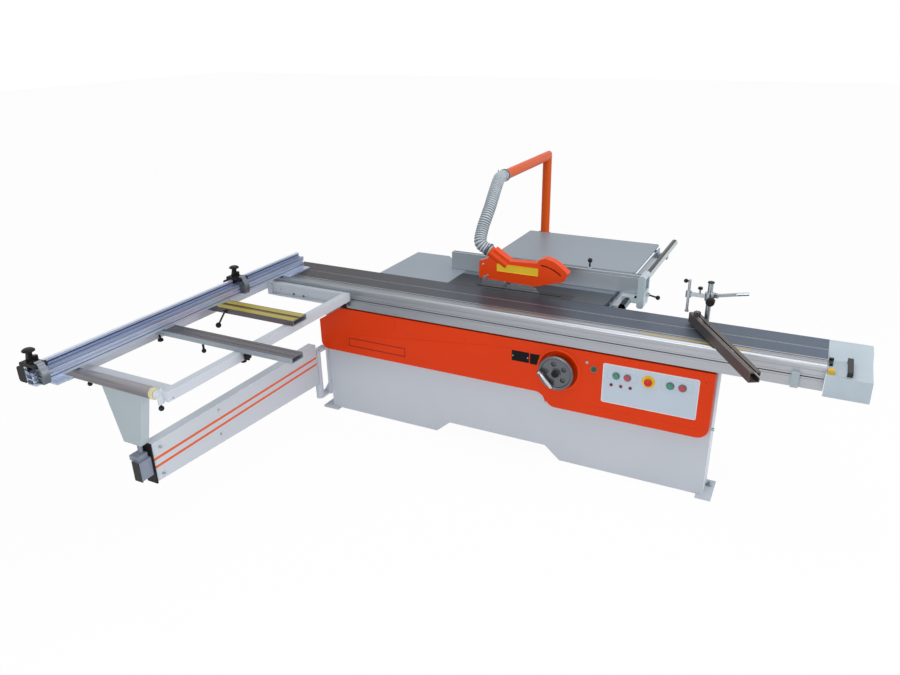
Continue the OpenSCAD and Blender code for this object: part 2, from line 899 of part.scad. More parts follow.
// two arcs and the web that ties them; it rolls on the table's hollow arcs round the tilt axis
module trunnion_frame() {
    web_y = [blade_y + 40, blade_y + 50];
    low = table_h - 286;
    paint("SlateGray") {
        for (x = [-334, 318])
            along_x(x, x + 16)
                difference() {
                    translate([blade_y, table_h])
                        ring_sector(70, arc_out - run, 5, 75);
                    translate([0, under_z - 4])
                        square([2000, 200]);
                }
        difference() {
            union() {
                box([-319, 319], web_y, [low, under_z - 6]);
                rod_y(score_x, blade_y + 12, web_y[0] + 1, score_z, 16);
            }
            box([-38, 38], [web_y[0] - 1, web_y[1] + 1], [blade_z - lift_travel - 38, under_z]);
            rod_y(score_x, blade_y, web_y[1] + 1, score_z, 8 + run);
        }
        for (x = [-110, 80]) {
            rod_z(x, blade_y + 66, low + 2, under_z - 8, 9);
            for (z = [low, under_z - 20])
                box([x - 16, x + 16], [web_y[1] - 1, blade_y + 82], [z, z + 12]);
        }
        box([-290, -205], [blade_y + 1.2, web_y[0] + 1], [table_h - 200, table_h - 130]);
    }
}

module riving_knife() {
    paint("Silver") {
        along_y(blade_y - 1.2, blade_y + 1.2)
            difference() {
                polygon([[-282, table_h - 200], [-158, table_h - 200], [-158, blade_z], [-100, table_h + 40],
                    [-190, table_h + 92], [-250, table_h + 86]]);
                translate([0, blade_z])
                    circle(blade_r + 6);
            }
        rod_y(hood_bolt[0], blade_y - 33, blade_y + 33, table_h + hood_bolt[1], 6);
        for (y = [blade_y - 33, blade_y + 28])
            rod_y(hood_bolt[0], y, y + 5, table_h + hood_bolt[1], 11);
    }
}

// outline of the hood from behind the blade over its outlet to its nose, drawn in by i
module hood_outline(i) {
    polygon([[-265 + i, 58 - 30 * i], [92 - i / 3, 49 - 15 * i], [259 - i, 99 - i / 2], [286 - i, 150],
        [234 - i, 191 - i], [197 - i / 2, 213 - i], [151, 225 - i], [114 + i / 2, 214 - i],
        [97 + i / 2, 189 - i], [-64 - i / 3, 181 - i], [-168 + i / 3, 246 - 1.3 * i],
        [-208 + 1.4 * i, 183 - i / 3], [-265 + i, 160 - i / 2]]);
}

module guard_hood() {
    slit_r = [201, 208];
    paint("OrangeRed")
        translate([0, 0, table_h])
            difference() {
                union() {
                    along_y(blade_y - hood_half, blade_y + hood_half)
                        hood_outline(0);
                    outlet(outlet_r, 0, 130);
                }
                along_y(blade_y - hood_half + sheet, blade_y + hood_half - sheet)
                    hood_outline(sheet);
                outlet(outlet_r - sheet, -1, 122);
                rod_y(hood_bolt[0], blade_y - 40, blade_y + 40, hood_bolt[1], 6 + run);
                along_y(blade_y - 40, blade_y + 40)
                    translate([115, -24])
                        ring_sector(slit_r[0], slit_r[1], 141, 178);
            }
}

// round rod down the outlet's axis, from its end face
module outlet(r, from, to) {
    translate([outlet_end[0], blade_y, outlet_end[1]])
        rotate([0, outlet_turn, 0])
            translate([0, 0, from])
                cylinder(r = r, h = to - from);
}

// plate on two bores, the arbor's housing, the motor and the belt between the pulleys
module motor_carriage() {
    plate_y = [blade_y + 50 + seat, blade_y + 58];
    motor_y = [blade_y + 88, blade_y + 222];
    paint("DimGray")
        difference() {
            union() {
                box([-46, 46], [plate_y[0], blade_y + 100], [blade_z - 46, blade_z + 30]);
                box([-128, 98], [blade_y + 52, blade_y + 84], [blade_z - 60, blade_z - 30]);
                rod_y(0, blade_y + 14, blade_y + 225, blade_z, 26);
                box([motor_x - 60, 20], [blade_y + 84 - 0.1, blade_y + 96], [motor_z - 60, blade_z - 30]);
                rod_y(motor_x, motor_y[0], motor_y[1], motor_z, 84);
                for (k = [0:15])
                    translate([motor_x, 0, motor_z])
                        rotate([0, k * 22.5, 0])
                            box([80, 92], [motor_y[0] + 12, motor_y[1] - 12], [-2, 2]);
            }
            for (x = [-110, 80])
                rod_z(x, blade_y + 66, 0, table_h, 9 + run);
            rod_y(0, blade_y, blade_y + 240, blade_z, 14 + run);
            rod_y(motor_x, motor_y[1] - 40, motor_y[1] + 10, motor_z, 12 + run);
        }
    paint("Black")
        along_y(pulley_y - 14, pulley_y + 14)
            belt_loop();
}

// flat loop round both pulleys
module belt_loop() {
    small_r = 34;
    large_r = 46;
    span = [motor_x, motor_z - blade_z];
    turn = atan2(span[1], span[0]);
    gap = 0.4;
    belt_t = 6;
    difference() {
        belt_outline(small_r + gap + belt_t, large_r + gap + belt_t, norm(span), turn);
        belt_outline(small_r + gap, large_r + gap, norm(span), turn);
    }
}

module belt_outline(r0, r1, span, turn) {
    lean = asin((r1 - r0) / span);
    sink = 0.05;
    a = r0 - sink;
    b = r1 - sink;
    translate([0, blade_z])
        rotate(turn) {
            circle(r0);
            translate([span, 0])
                circle(r1);
            polygon([[-a * sin(lean), a * cos(lean)], [span - b * sin(lean), b * cos(lean)],
                [span - b * sin(lean), -b * cos(lean)], [-a * sin(lean), -a * cos(lean)]]);
        }
}

module arbor() {
    paint("Silver") {
        rod_y(0, blade_y - 14, blade_y - blade_t / 2, blade_z, 11);
        rod_y(0, blade_y - blade_t / 2 - 6, blade_y - blade_t / 2, blade_z, 28);
        rod_y(0, blade_y + blade_t / 2, blade_y + 8, blade_z, 28);
        rod_y(0, blade_y - blade_t / 2 - 0.1, pulley_y + 14, blade_z, 14);
        rod_y(0, pulley_y - 13.8, pulley_y + 13.8, blade_z, 34);
    }
}

module saw_blade() {
    teeth = 36;
    paint("Silver")
        along_y(blade_y - blade_t / 2, blade_y + blade_t / 2)
            translate([0, blade_z])
                difference() {
                    union() {
                        circle(blade_r - 8);
                        for (k = [0:teeth - 1])
                            rotate(k * 360 / teeth)
                                polygon([[blade_r - 12, -9], [blade_r, 0], [blade_r - 9, 3], [blade_r - 14, 5]]);
                    }
                    circle(14.02);
                }
}

module motor_pulley() {
    paint("Silver") {
        rod_y(motor_x, pulley_y - 13.8, pulley_y + 13.8, motor_z, 46);
        rod_y(motor_x, blade_y + 190, pulley_y - 13, motor_z, 12);
    }
}

module scoring_blade() {
    paint("Silver") {
        rod_y(score_x, blade_y - 1.5, blade_y + 1.5, score_z, scoring_r);
        rod_y(score_x, blade_y - 7, blade_y + 11, score_z, 14);
        rod_y(score_x, blade_y, blade_y + 80, score_z, 8);
    }
}

// Carriage

module roller_cage() {
    pitch = 92;
    slot = [2 * cage_rollers_r + 1, 19];
    x_mid = carriage_rest / 2;
    spots = [-3.5:1:3.5];
    paint("Gray") {
        difference() {
            box([x_mid - cage_half, x_mid + cage_half], [28, 142], [cage_z - 6, cage_z + 6]);
            for (k = spots)
                for (y = guide_y)
                    box([x_mid + k * pitch - slot[0] / 2, x_mid + k * pitch + slot[0] / 2],
                        [y - slot[1] / 2, y + slot[1] / 2], [cage_z - 10, cage_z + 10]);
        }
        for (k = spots)
            for (y = guide_y) {
                rod_y(x_mid + k * pitch, y - 7, y + 7, cage_z, cage_rollers_r);
                rod_y(x_mid + k * pitch, y - 12, y + 12, cage_z, 3);
            }
    }
}

// one drawn aluminium profile: T-slots, grooves, chambers and the open channel over the beam
module carriage_section() {
    nose_r = 15;
    groove = 2;
    difference() {
        union() {
            translate([c0, roof_z])
                square([209, table_h - roof_z - nose_r]);
            translate([c0 + nose_r, table_h - nose_r - 1])
                square([c1 - c0 - nose_r, nose_r + 1]);
            translate([c0 + nose_r, table_h - nose_r])
                circle(nose_r);
            translate([c0 + 200, table_h - 30])
                square([c1 - c0 - 200, 30]);
            translate([c0, skirt_z])
                square([24, roof_z - skirt_z + 1]);
            translate([inner_skirt, table_h - 108])
                square([12, 108 - 42 + 1]);
            for (y = guide_y)
                translate([y, upper_rod_z])
                    circle(guide_r);
        }
        // hollow front skirt with its slot for the outrigger
        translate([c0 + 4, skirt_z + 4])
            square([16, roof_z - skirt_z - 8]);
        translate([c0 - 1, table_h - 72])
            square([6, 5]);
        // lines on the front
        for (z = [58, 82])
            translate([c0 - 1, table_h - z])
                square([1 + groove, groove]);
        translate([c0 - 1, table_h - 32])
            square([1 + groove, groove]);
        // chambers under the top
        translate([c0 + 8, roof_z + 4])
            square([36, 20]);
        translate([c0 + 78, roof_z + 4])
            square([54, 26]);
        translate([c0 + 138, roof_z + 4])
            square([54, 26]);
        translate([c0 + 214, table_h - 26])
            square([c1 - c0 - 222, 18]);
        // T-slot
        translate([slot_y - 11, table_h - 20])
            square([22, 8]);
        translate([slot_y - 5, table_h - 13])
            square([10, 20]);
        // scale recess and thin grooves
        translate([c0 + 30, table_h - 1.2])
            square([14, 2]);
        translate([c0 + 20, table_h - 3])
            square([4, 5]);
        translate([c0 + 49, table_h - 3])
            square([4, 5]);
        translate([c0 + 200, table_h - 4])
            square([6, 6]);
        for (k = [0:8])
            translate([c0 + 84 + 12 * k, table_h - 0.8])
                square([1.6, 2]);
        for (k = [0:9])
            translate([c0 + 214 + 12 * k, table_h - 0.8])
                square([1.6, 2]);
    }
}

module carriage_profile() {
    paint("Gray")
        along_x(car_x0, car_x1)
            carriage_section();
}

// yellow strips: the carriage's scale and the two on the outrigger's inner bar
module scale_strips() {
    paint("Yellow") {
        box([car_x1 - 855, car_x1 - 335], [c0 + 30.3, c0 + 43.7], [table_h - 1.2, table_h - 0.2]);
        for (y = strips)
            box([fr0 + 5, fr1 + 60], [y + 0.3, y + strip_w - 0.3], [table_h - 1, table_h]);
    }
}

// grey hood on the carriage's end, hollowed on top so that the push handle lies below the table top
module end_cap() {
    x1 = car_x1 + cap_l;
    paint("Gainsboro") {
        difference() {
            along_x(car_x1, x1)
                polygon([[c1, skirt_z], [c1, table_h], [c0 + 229, table_h], [c0 + 160, table_h - 26],
                    [c0 - 41, table_h - 32], [c0 - 61, table_h - 103], [c0 - 55, skirt_z]]);
            along_x(car_x1 - 1, x1 - 4)
                polygon([[c1 - 4, skirt_z - 1], [c1 - 4, table_h - 4], [c0 + 230, table_h - 4],
                    [c0 + 161, table_h - 30], [c0 - 37, table_h - 36], [c0 - 57, table_h - 103],
                    [c0 - 51, skirt_z - 1]]);
            box([x1 - 5, x1 + 1], [c0 + 28, inner_skirt - 4], [skirt_z - 1, roof_z - 4]);
            along_z(table_h - 60, table_h)
                button_outline(seat);
        }
        rod_z(latch_at[0], latch_at[1], table_h - 32, latch_z - seat, 9);
    }
    paint("Black")
        along_x(car_x1 + 84, car_x1 + 108)
            difference() {
                pad(-75, table_h - 33, 105, table_h - 1, 8);
                pad(-57, table_h - 60, 87, table_h - 11, 6);
            }
}

module button_outline(gap) {
    pad(car_x1 + 6 - gap, -60 - gap, car_x1 + 34 + gap, -26 + gap, 5);
}

module yellow_button() {
    paint("Yellow")
        along_z(table_h - 42, table_h - 12)
            button_outline(0);
}

module cap_latch() {
    paint("Black") {
        box([latch_at[0] - 7, latch_at[0] + 7], [latch_at[1] - 58, latch_at[1]], [latch_z, latch_z + 9]);
        rod_z(latch_at[0], latch_at[1], latch_z, latch_z + 14, 10);
    }
}

// clamp knobs of the frame and the hook that hangs on the carriage's front slot
module clamp_hardware() {
    x = car_x1 - 140;
    paint("Black") {
        translate([fr1 + side_t, mid_y[0] + 26, fr_z0 + 24])
            rotate([0, 90, 0]) {
                cylinder(r = 6, h = 12);
                translate([0, 0, 12])
                    star_knob(22, 16);
            }
        rod_z(fr1 - 12, roller_y + 30, fr_z0 - 30, fr_z0, 5);
        translate([fr1 - 12, roller_y + 30, fr_z0 - 40])
            sphere(13);
        rod_z(frame_cx + 60, mid_y[0] + 20, fr_z0 + 6, fr_z1, 6);
        translate([frame_cx + 60, mid_y[0] + 20, fr_z0 + 2])
            sphere(12);
        rod_z(fr1 + 20, c0 - 21, fr_z0 - 20, fr_z0, 5);
        rod_y(fr1 + 20, c0 - 51, c0 - 21, fr_z0 - 14, 4);
        translate([fr1 + 20, c0 - 57, fr_z0 - 14])
            sphere(12);
    }
    paint("DimGray") {
        difference() {
            box([x, x + 35], [c0 - 24, c0], [table_h - 126, table_h - 52]);
            box([x - 5, x + 40], [c0 - 14, c0 - 6], [table_h - 118, table_h - 80]);
        }
        box([x + 5, x + 30], [c0 - 1, c0 + 3.5], [table_h - 71.5, table_h - 67.5]);
    }
}

module star_knob(r, h) {
    lobes = 6;
    cylinder(r = r * 0.72, h = h);
    for (k = [0:lobes - 1])
        rotate(k * 360 / lobes)
            translate([r * 0.68, 0, 0])
                cylinder(r = r * 0.32, h = h);
}

// Outrigger

module side_bars() {
    paint("WhiteSmoke")
        for (x = [fr0 - side_t, fr1])
            difference() {
                box([x, x + side_t], [fr_y0, c0], [fr_z0, fr_z1]);
                box([x + sheet, x + side_t - sheet], [fr_y0 + 10, c0 - 10], [fr_z0 + sheet, fr_z1 - sheet]);
                rod_x(x - 1, x + side_t + 1, fr_y0 + 30, fr_z0 + 10, 4);
            }
}

// plate at the carriage, channel at the far end and the roller's two brackets
module frame_ends() {
    paint("WhiteSmoke") {
        difference() {
            box([fr0, fr1], [c0 - 24, c0], [fr_z0 - 38, fr_z1]);
            box([fr0 + 30, fr1 - 30], [c0 - 26, c0 - 6], [fr_z0 - 30, fr_z1 - 8]);
        }
        difference() {
            box([fr0, fr1], [channel_y, channel_y + 65], [fr_z0, fr_z1]);
            box([fr0 - 1, fr1 + 1], [channel_y + 4, channel_y + 70], [fr_z0 + 4, fr_z1 - 4]);
        }
        for (x = [fr0 - 14, fr1 + 8])
            along_x(x, x + 6) {
                translate([roller_y, roller_z])
                    circle(20);
                translate([roller_y, roller_z - 60])
                    square([fr_y0 - roller_y, 76]);
            }
        for (x = [[fr0 - 18, fr0 - 6 - seat], [fr1 + 6 + seat, fr1 + 18]])
            rod_x(x[0], x[1], roller_y, roller_z, 12);
        rod_x(fr0 - 10, fr1 + 10, roller_y, roller_z, 8);
    }
    paint("Silver")
        for (x = [fr0 + 90, fr0 + 290, fr1 - 90]) {
            rod_y(x, c0 - 12, c0 - 5, fr_z0 - 6, 9);
            rod_y(x, channel_y - 5, channel_y, fr_z0 + 24, 7);
        }
}

// middle bar with its dark top and the bar that holds the yellow strips
module cross_bars() {
    mid_x = [fr0 - 17, fr1 + 363];
    paint("DimGray")
        difference() {
            box(mid_x, mid_y, [fr_z1, table_h]);
            box([mid_x[0] - 1, mid_x[1] + 1], [mid_y[0] + 4, mid_y[1] - 4], [fr_z1 + 4, table_h - 4]);
            for (y = [mid_y[0] + 20, mid_y[1] - 26])
                box([mid_x[0] - 1, mid_x[1] + 1], [y, y + 6], [table_h - 3, table_h + 1]);
        }
    paint("Gainsboro")
        difference() {
            box([fr0 - 17, fr1 + 66], stripe_y, [fr_z1, table_h]);
            box([fr0 - 20, fr1 + 70], [stripe_y[0] + 4, stripe_y[1] - 4], [fr_z1 + 4, table_h - 4]);
            for (y = strips)
                box([fr0 - 20, fr1 + 70], [y, y + strip_w], [table_h - 1, table_h + 1]);
            box([fr0 - 20, fr1 + 70], [strips[0] + strip_w + 6, strips[1] - 6], [table_h - 3, table_h + 1]);
        }
    paint("Silver")
        rod_y(fr0 + 170, stripe_y[0] - 26, stripe_y[0] + 1, fr_z1 + 15, 4);
}

module outer_roller() {
    paint("Silver")
        difference() {
            rod_x(fr0 - 6, fr1 + 6, roller_y, roller_z, roller_r);
            rod_x(fr0 - 8, fr1 + 8, roller_y, roller_z, 8 + run);
        }
}

// tapered folded leg, open at the back, on a foot plate that rests on the swing arm's pin
module support_leg() {
    half_top = 132;
    half_low = 58;
    depth = 50;
    y = [leg_y, leg_y + depth];
    paint("WhiteSmoke") {
        difference() {
            along_y(y[0], y[1])
                polygon([[leg_x - half_low, leg_z0], [leg_x + half_low, leg_z0], [leg_x + half_top, fr_z0],
                    [leg_x - half_top, fr_z0]]);
            along_y(y[0] + sheet, y[1] + 1)
                polygon([[leg_x - half_low + 3, leg_z0 + 8], [leg_x + half_low - 3, leg_z0 + 8],
                    [leg_x + half_top - 4, fr_z0 - 4], [leg_x - half_top + 4, fr_z0 - 4]]);
        }
    }
}

// lever with a ball that locks the striped bar; it turns on a pin at the bar's front
module bar_lever() {
    x = fr0 + 170;
    y = stripe_y[0] - 15;
    paint("Black") {
        difference() {
            rod_y(x, y - 4, y + 8, fr_z1 + 15, 10);
            rod_y(x, y - 10, y + 20, fr_z1 + 15, 4 + run);
        }
        along_y(y - 3, y + 3)
            polygon([[x + 4, fr_z1 + 8], [x - 6, fr_z1 + 8], [x - 60, fr_z1 - 70], [x - 52, fr_z1 - 74]]);
        translate([x - 58, y, fr_z1 - 76])
            rotate([0, 0, 180])
                sphere(16);
    }
}

// Crosscut fence

module crosscut_fence() {
    x0 = fx - fence_w / 2;
    x1 = fx + fence_w / 2;
    paint("Silver") {
        along_y(fence_y0, fence_y1)
            difference() {
                union() {
                    translate([x0, fence_z0])
                        square([fence_w, fence_h]);
                    translate([x0, fence_z1 - 1])
                        square([18, rail_z - fence_z1 + 1]);
                }
                translate([x1 - 3, fence_z0 + 12])
                    square([5, 8]);
                translate([x1 - 9, fence_z0 + 28])
                    square([12, 10]);
                translate([x1 - 3, fence_z0 + 46])
                    square([5, 6]);
                translate([fx, fence_z1 - 8])
                    square([10, 10]);
                translate([x0 + 4, fence_z0 + 6])
                    square([fence_w - 18, 20]);
                translate([x0 + 4, fence_z0 + 32])
                    square([fence_w - 18, fence_h - 44]);
                translate([x0 + 5, fence_z1 + 4])
                    square([8, rail_z - fence_z1 - 8]);
            }
        for (y = [mid_y, stripe_y])
            box([x0 + 2, x1 - 2], [y[0] + 10, y[1] - 10], [table_h + seat, fence_z0 + 1]);
        box([x0 + 2, x1 + 60], [fence_y0 + 60, fence_y0 + 140], [table_h + seat, fence_z0 + 1]);
        box([x0 + 2, x1 + 50], [-20, 190], [table_h + seat, fence_z0 + 1]);
        for (y = [9, 160])
            rod_z(x1 + 24, y, fence_z0, fence_z0 + 5, 11);
        // stud and nut in the carriage's T-slot: the fence turns on them
        rod_z(fx, slot_y, table_h - 14, table_h + 1, 4.8);
        rod_z(fx, slot_y, table_h - 19, table_h - 13, 10);
    }
}

// body of a flip stop: block behind the fence, saddle over its rail, clamp knob and mushroom
module stop_body(y) {
    x0 = fx - fence_w / 2;
    x1 = fx + fence_w / 2;
    half = 30;
    paint("Black") {
        difference() {
            union() {
                along_y(y - half, y + half) {
                    pad(x0 - 58, fence_z0 + 4, x0 - seat, rail_z - 8, 14);
                    pad(x0 - 30, fence_z1, x0 + 24, rail_z + 18, 10);
                }
                for (v = [y - half, y + half - 12])
                    along_y(v, v + 12) {
                        translate(stop_pin)
                            circle(13);
                        translate([x0 + 20, rail_z + 2])
                            square([x1 - x0 - 8, 15]);
                    }
                along_y(y - 11, y + 11)
                    polygon([[x0 - 10, rail_z + 12], [x0 + 18, rail_z + 12], [x0 + 20, rail_z + 62],
                        [x0 + 6, rail_z + 62]]);
            }
            box([x0 - seat, x0 + 18 + seat], [y - half - 1, y + half + 1], [fence_z1 - 1, rail_z + seat]);
            box([x0, x1 + 20], [y - half - 1, y + half + 1], [fence_z1 - 1, fence_z1 + seat]);
            rod_y(stop_pin[0], y - half - 1, y + half + 1, stop_pin[1], 5 + 0.02);
        }
        rod_y(stop_pin[0], y - half, y + half, stop_pin[1], 5);
        translate([x0 + 13, y, rail_z + 58])
            rotate_extrude()
                polygon([[0, 0], [12, 0], [28, 8], [28, 13], [20, 19], [0, 21]]);
        translate([x0 + 10, y + 24, rail_z + 15])
            star_knob(13, 20);
    }
}

// D-shaped stop head that hangs before the fence's face, with two pockets on each side
module stop_finger(y) {
    x1 = fx + fence_w / 2;
    half = 17.5;
    paint("DimGray")
        difference() {
            union() {
                rod_y(stop_pin[0], y - half, y + half, stop_pin[1], 12);
                along_y(y - half, y + half)
                    stop_outline(76, [x1 + 1, x1 + 90], [fence_z0 + 9, fence_z0 + 150]);
            }
            for (v = [y - half - 1, y + half - 5])
                along_y(v, v + 6) {
                    stop_outline(69, [x1 + 7, x1 + 90], [fence_z0 + 15, fence_z0 + 38]);
                    stop_outline(69, [x1 + 7, x1 + 90], [fence_z0 + 44, fence_z0 + 76]);
                }
            rod_y(stop_pin[0], y - 40, y + 40, stop_pin[1], 5 + run);
        }
}

module stop_outline(r, x, z) {
    intersection() {
        translate([fx + fence_w / 2 - 30, fence_z0 + 44])
            circle(r);
        translate([x[0], z[0]])
            square([x[1] - x[0], z[1] - z[0]]);
    }
}

module stop_near() {
    stop_body(stop_near_y);
}

module stop_near_finger() {
    stop_finger(stop_near_y);
}

module stop_far() {
    stop_body(stop_far_y);
}

module stop_far_finger() {
    stop_finger(stop_far_y);
}

// Mitre fence and hold-down

module mitre_bar() {
    paint("DimGray")
        translate([mitre_x, mitre_y, 0])
            rotate([0, 0, mitre_turn]) {
                difference() {
                    box([-45, mitre_l - 45], [-25, 25], [mitre_z0, mitre_z1]);
                    box([-46, mitre_l], [-21, 21], [mitre_z0 + 4, mitre_z1 - 8]);
                    box([-46, mitre_l], [21, 26], [mitre_z0 + 20, mitre_z0 + 30]);
                    box([-46, mitre_l], [-5, 5], [mitre_z1 - 9, mitre_z1 + 1]);
                }
                rod_z(0, 0, table_h + seat, mitre_z0 + 0.1, 26);
                rod_z(0, 0, mitre_z0, mitre_z1 + 4, 7);
                translate([0, 0, mitre_z1])
                    star_knob(18, 18);
            }
}

module clamp_column() {
    paint("Silver") {
        rod_z(column_x, column_y, table_h, table_h + 7, 21);
        rod_z(column_x, column_y, table_h, table_h + 230, column_r);
        rod_z(column_x, column_y, table_h + 230, table_h + 236, column_r + 3);
    }
}

// collar on the column, arm, screw with its foot, and two knobs
module clamp_arm() {
    z = [arm_z - 12, arm_z + 30];
    paint("Silver")
        difference() {
            union() {
                rod_z(column_x, column_y, z[0], z[1], 24);
                box([spindle_x, column_x], [column_y - 9, column_y + 9], [arm_z, arm_z + 18]);
                rod_z(spindle_x, column_y, arm_z - 8, arm_z + 26, 15);
                rod_z(spindle_x, column_y, table_h + 66, table_h + 236, 7);
                rod_z(spindle_x, column_y, table_h + 62, table_h + 72, 10);
                rod_y(column_x + 16, column_y - 45, column_y - 10, arm_z + 7, 5);
                box([column_x + 18, column_x + 44], [column_y - 12, column_y - 7], [arm_z + 8, arm_z + 28]);
                box([column_x + 18, column_x + 44], [column_y + 7, column_y + 12], [arm_z + 8, arm_z + 28]);
                rod_y(column_x + 36, column_y - 12, column_y + 12, arm_z + 18, 4);
            }
            rod_z(column_x, column_y, 0, 2000, column_r + run);
        }
    paint("Black") {
        translate([column_x + 16, column_y - 44, arm_z + 7])
            rotate([90, 0, 0])
                star_knob(20, 16);
        translate([spindle_x - 20, column_y, table_h + 227])
            rotate([0, 0, 180])
                sphere(11);
        rod_x(spindle_x - 20, spindle_x, column_y, table_h + 227, 4);
        rod_z(spindle_x + 55, column_y, arm_z + 17, arm_z + 42, 5);
        translate([spindle_x + 55, column_y, arm_z + 41])
            star_knob(12, 12);
    }
}

module clamp_lever() {
    pin = [column_x + 36, arm_z + 18];
    paint("Silver")
        difference() {
            along_y(column_y - 6.6, column_y + 6.6) {
                translate(pin)
                    circle(9);
                polygon([[pin[0] + 2, pin[1] - 7], [pin[0], pin[1] + 8], [pin[0] + 96, pin[1] + 28],
                    [pin[0] + 98, pin[1] + 14]]);
            }
            rod_y(pin[0], column_y - 20, column_y + 20, pin[1], 4 + run);
        }
    paint("Black")
        translate([pin[0] + 92, column_y, pin[1] + 20])
            rotate([0, 79, 0])
                cylinder(r = 9, h = 58);
}

// Swing arm

// tall box that deepens towards its pivot, with two pressed lines on each side
module swing_arm() {
    wall = 4;
    x0 = arm_x - arm_w / 2;
    x1 = arm_x + arm_w / 2;
    paint("WhiteSmoke") {
        difference() {
            along_x(x0, x1)
                polygon([[arm_y0, arm_low_out], [arm_y1, arm_low_in], [arm_y1, arm_top], [arm_y0, arm_top]]);
            along_x(x0 + wall, x1 - wall)
                polygon([[arm_y0 - 1, arm_low_out + wall], [arm_y1 - 6, arm_low_in + wall + 1],
                    [arm_y1 - 6, arm_top - wall], [arm_y0 - 1, arm_top - wall]]);
            for (z = [364, 409])
                for (x = [x0 - 1, x1 - 1])
                    box([x, x + 2], [arm_y0 + 60, arm_y1 - 60], [z, z + 8]);
            rod_y(arm_x, arm_y1 - 10, arm_y1 + 1, 300, 16);
        }
        difference() {
            union() {
                rod_z(arm_x, arm_y, lug_z[0] + 15 + seat, lug_z[1] - 15 - seat, 24);
                for (z = [[230, 280], [324, 420]])
                    box([arm_x - 14, arm_x + 14], [arm_y1 - 1, arm_y], z);
            }
            rod_z(arm_x, arm_y, 0, arm_top, 12 + run);
        }
    }
    paint("Silver")
        for (y = [arm_y0 + 47, arm_y0 + 458])
            for (z = [314 + 6, 457])
                rod_x(x1 - 0.1, x1 + 6, y, z, 8);
}

// black frames in the arm that the tube slides in; the outer one shows as an end plate
module arm_guides() {
    half = arm_w / 2 - 4;
    paint("Black")
        for (y = [arm_y0, arm_y0 + 440])
            difference() {
                union() {
                    box([arm_x - half, arm_x + half], [y, y + 40], [arm_low_out + 4, arm_top - 4]);
                    if (y == arm_y0)
                        box([arm_x - arm_w / 2 - 6, arm_x + arm_w / 2 + 6], [y - 8, y],
                            [arm_low_out - 6, arm_top + 6]);
                }
                box([arm_x - tube_half - run, arm_x + tube_half + run], [y - 20, y + 60],
                    [tube_z0 - run, tube_z1 + run]);
            }
}

// telescopic tube with its closed end and the pin that stands under the leg
module arm_tube() {
    head_x = arm_x - 20;
    paint("WhiteSmoke")
        difference() {
            box([arm_x - tube_half, arm_x + tube_half], [tube_y0, tube_y0 + tube_l], [tube_z0, tube_z1]);
            box([arm_x - tube_half + sheet, arm_x + tube_half - sheet], [tube_y0 + 8, tube_y0 + tube_l + 1],
                [tube_z0 + sheet, tube_z1 - sheet]);
        }
    paint("DimGray") {
        box([arm_x - tube_half - 2, arm_x + tube_half + 2], [tube_y0 - 6, tube_y0], [tube_z0 - 4, tube_z1 + 4]);
        box([head_x - 26, head_x + 30], [tube_y0 + 4, arm_y0 - 12], [tube_z1, tube_z1 + 26]);
        rod_z(head_x, leg_y + 16, tube_z1 + 25, leg_z0 - seat, 12);
    }
}

// Rip fence

// casting over the round bar, open below so that it passes the bar's arms
module fence_head() {
    top = table_h + 128;
    x1 = head_x + 40;
    paint("Gray") {
        difference() {
            union() {
                along_y(head_y[0], head_y[1]) {
                    pad(head_x, table_h - 65, x1, top, 14);
                    translate([bar_x - bar_r - 10, bar_z - 6])
                        square([head_x - bar_x + bar_r + 12, 35.5]);
                }
                box([rip_x1 - 240, head_x + 1], [rip_y + rip_t + seat, rip_y + rip_t + 14],
                    [rip_z0 + 4, rip_z0 + 90]);
            }
            rod_y(bar_x, head_y[0] - 1, head_y[1] + 1, bar_z, bar_r + run);
            along_y(head_y[0] + 14, head_y[1] - 14)
                pad(head_x + 8, table_h + 30, x1 + 1, table_h + 110, 8);
        }
        for (y = [rip_y - 14, rip_y + 6])
            along_y(y, y + 8)
                pad(x1 - 4, lever_pin[1] - 9, lever_pin[0] + 9, lever_pin[1] + 9, 8);
        rod_y(lever_pin[0], rip_y - 14, rip_y + 14, lever_pin[1], 4);
    }
}

module head_lever() {
    paint("Black")
        difference() {
            union() {
                rod_y(lever_pin[0], rip_y - 5.7, rip_y + 5.7, lever_pin[1], 8);
                translate([lever_pin[0], rip_y, lever_pin[1]])
                    rotate([0, 100, 0])
                        cylinder(r = 5, h = 52);
                translate([lever_pin[0] + 56, rip_y, lever_pin[1] - 10])
                    sphere(13);
            }
            rod_y(lever_pin[0], rip_y - 20, rip_y + 20, lever_pin[1], 4 + run);
        }
}

module rip_fence() {
    top = rip_z0 + rip_h;
    lock_x = tab_x0 + 803;
    paint("Gainsboro") {
        along_x(rip_x0, rip_x1)
            difference() {
                translate([rip_y, rip_z0])
                    square([rip_t, rip_h]);
                translate([rip_y + 4, rip_z0 + 4])
                    square([rip_t - 8, 46]);
                translate([rip_y + 4, rip_z0 + 56])
                    square([rip_t - 8, rip_h - 74]);
                translate([rip_y - 1, top - 16])
                    square([3, 4]);
                translate([rip_y + 12, top - 6])
                    square([10, 7]);
            }
    }
    paint("Black") {
        rod_z(lock_x, rip_y + 17, top, top + 8, 14);
        rod_z(lock_x, rip_y + 17, top, top + 42, 5);
        translate([lock_x, rip_y + 17, top + 50])
            sphere(14);
    }
}

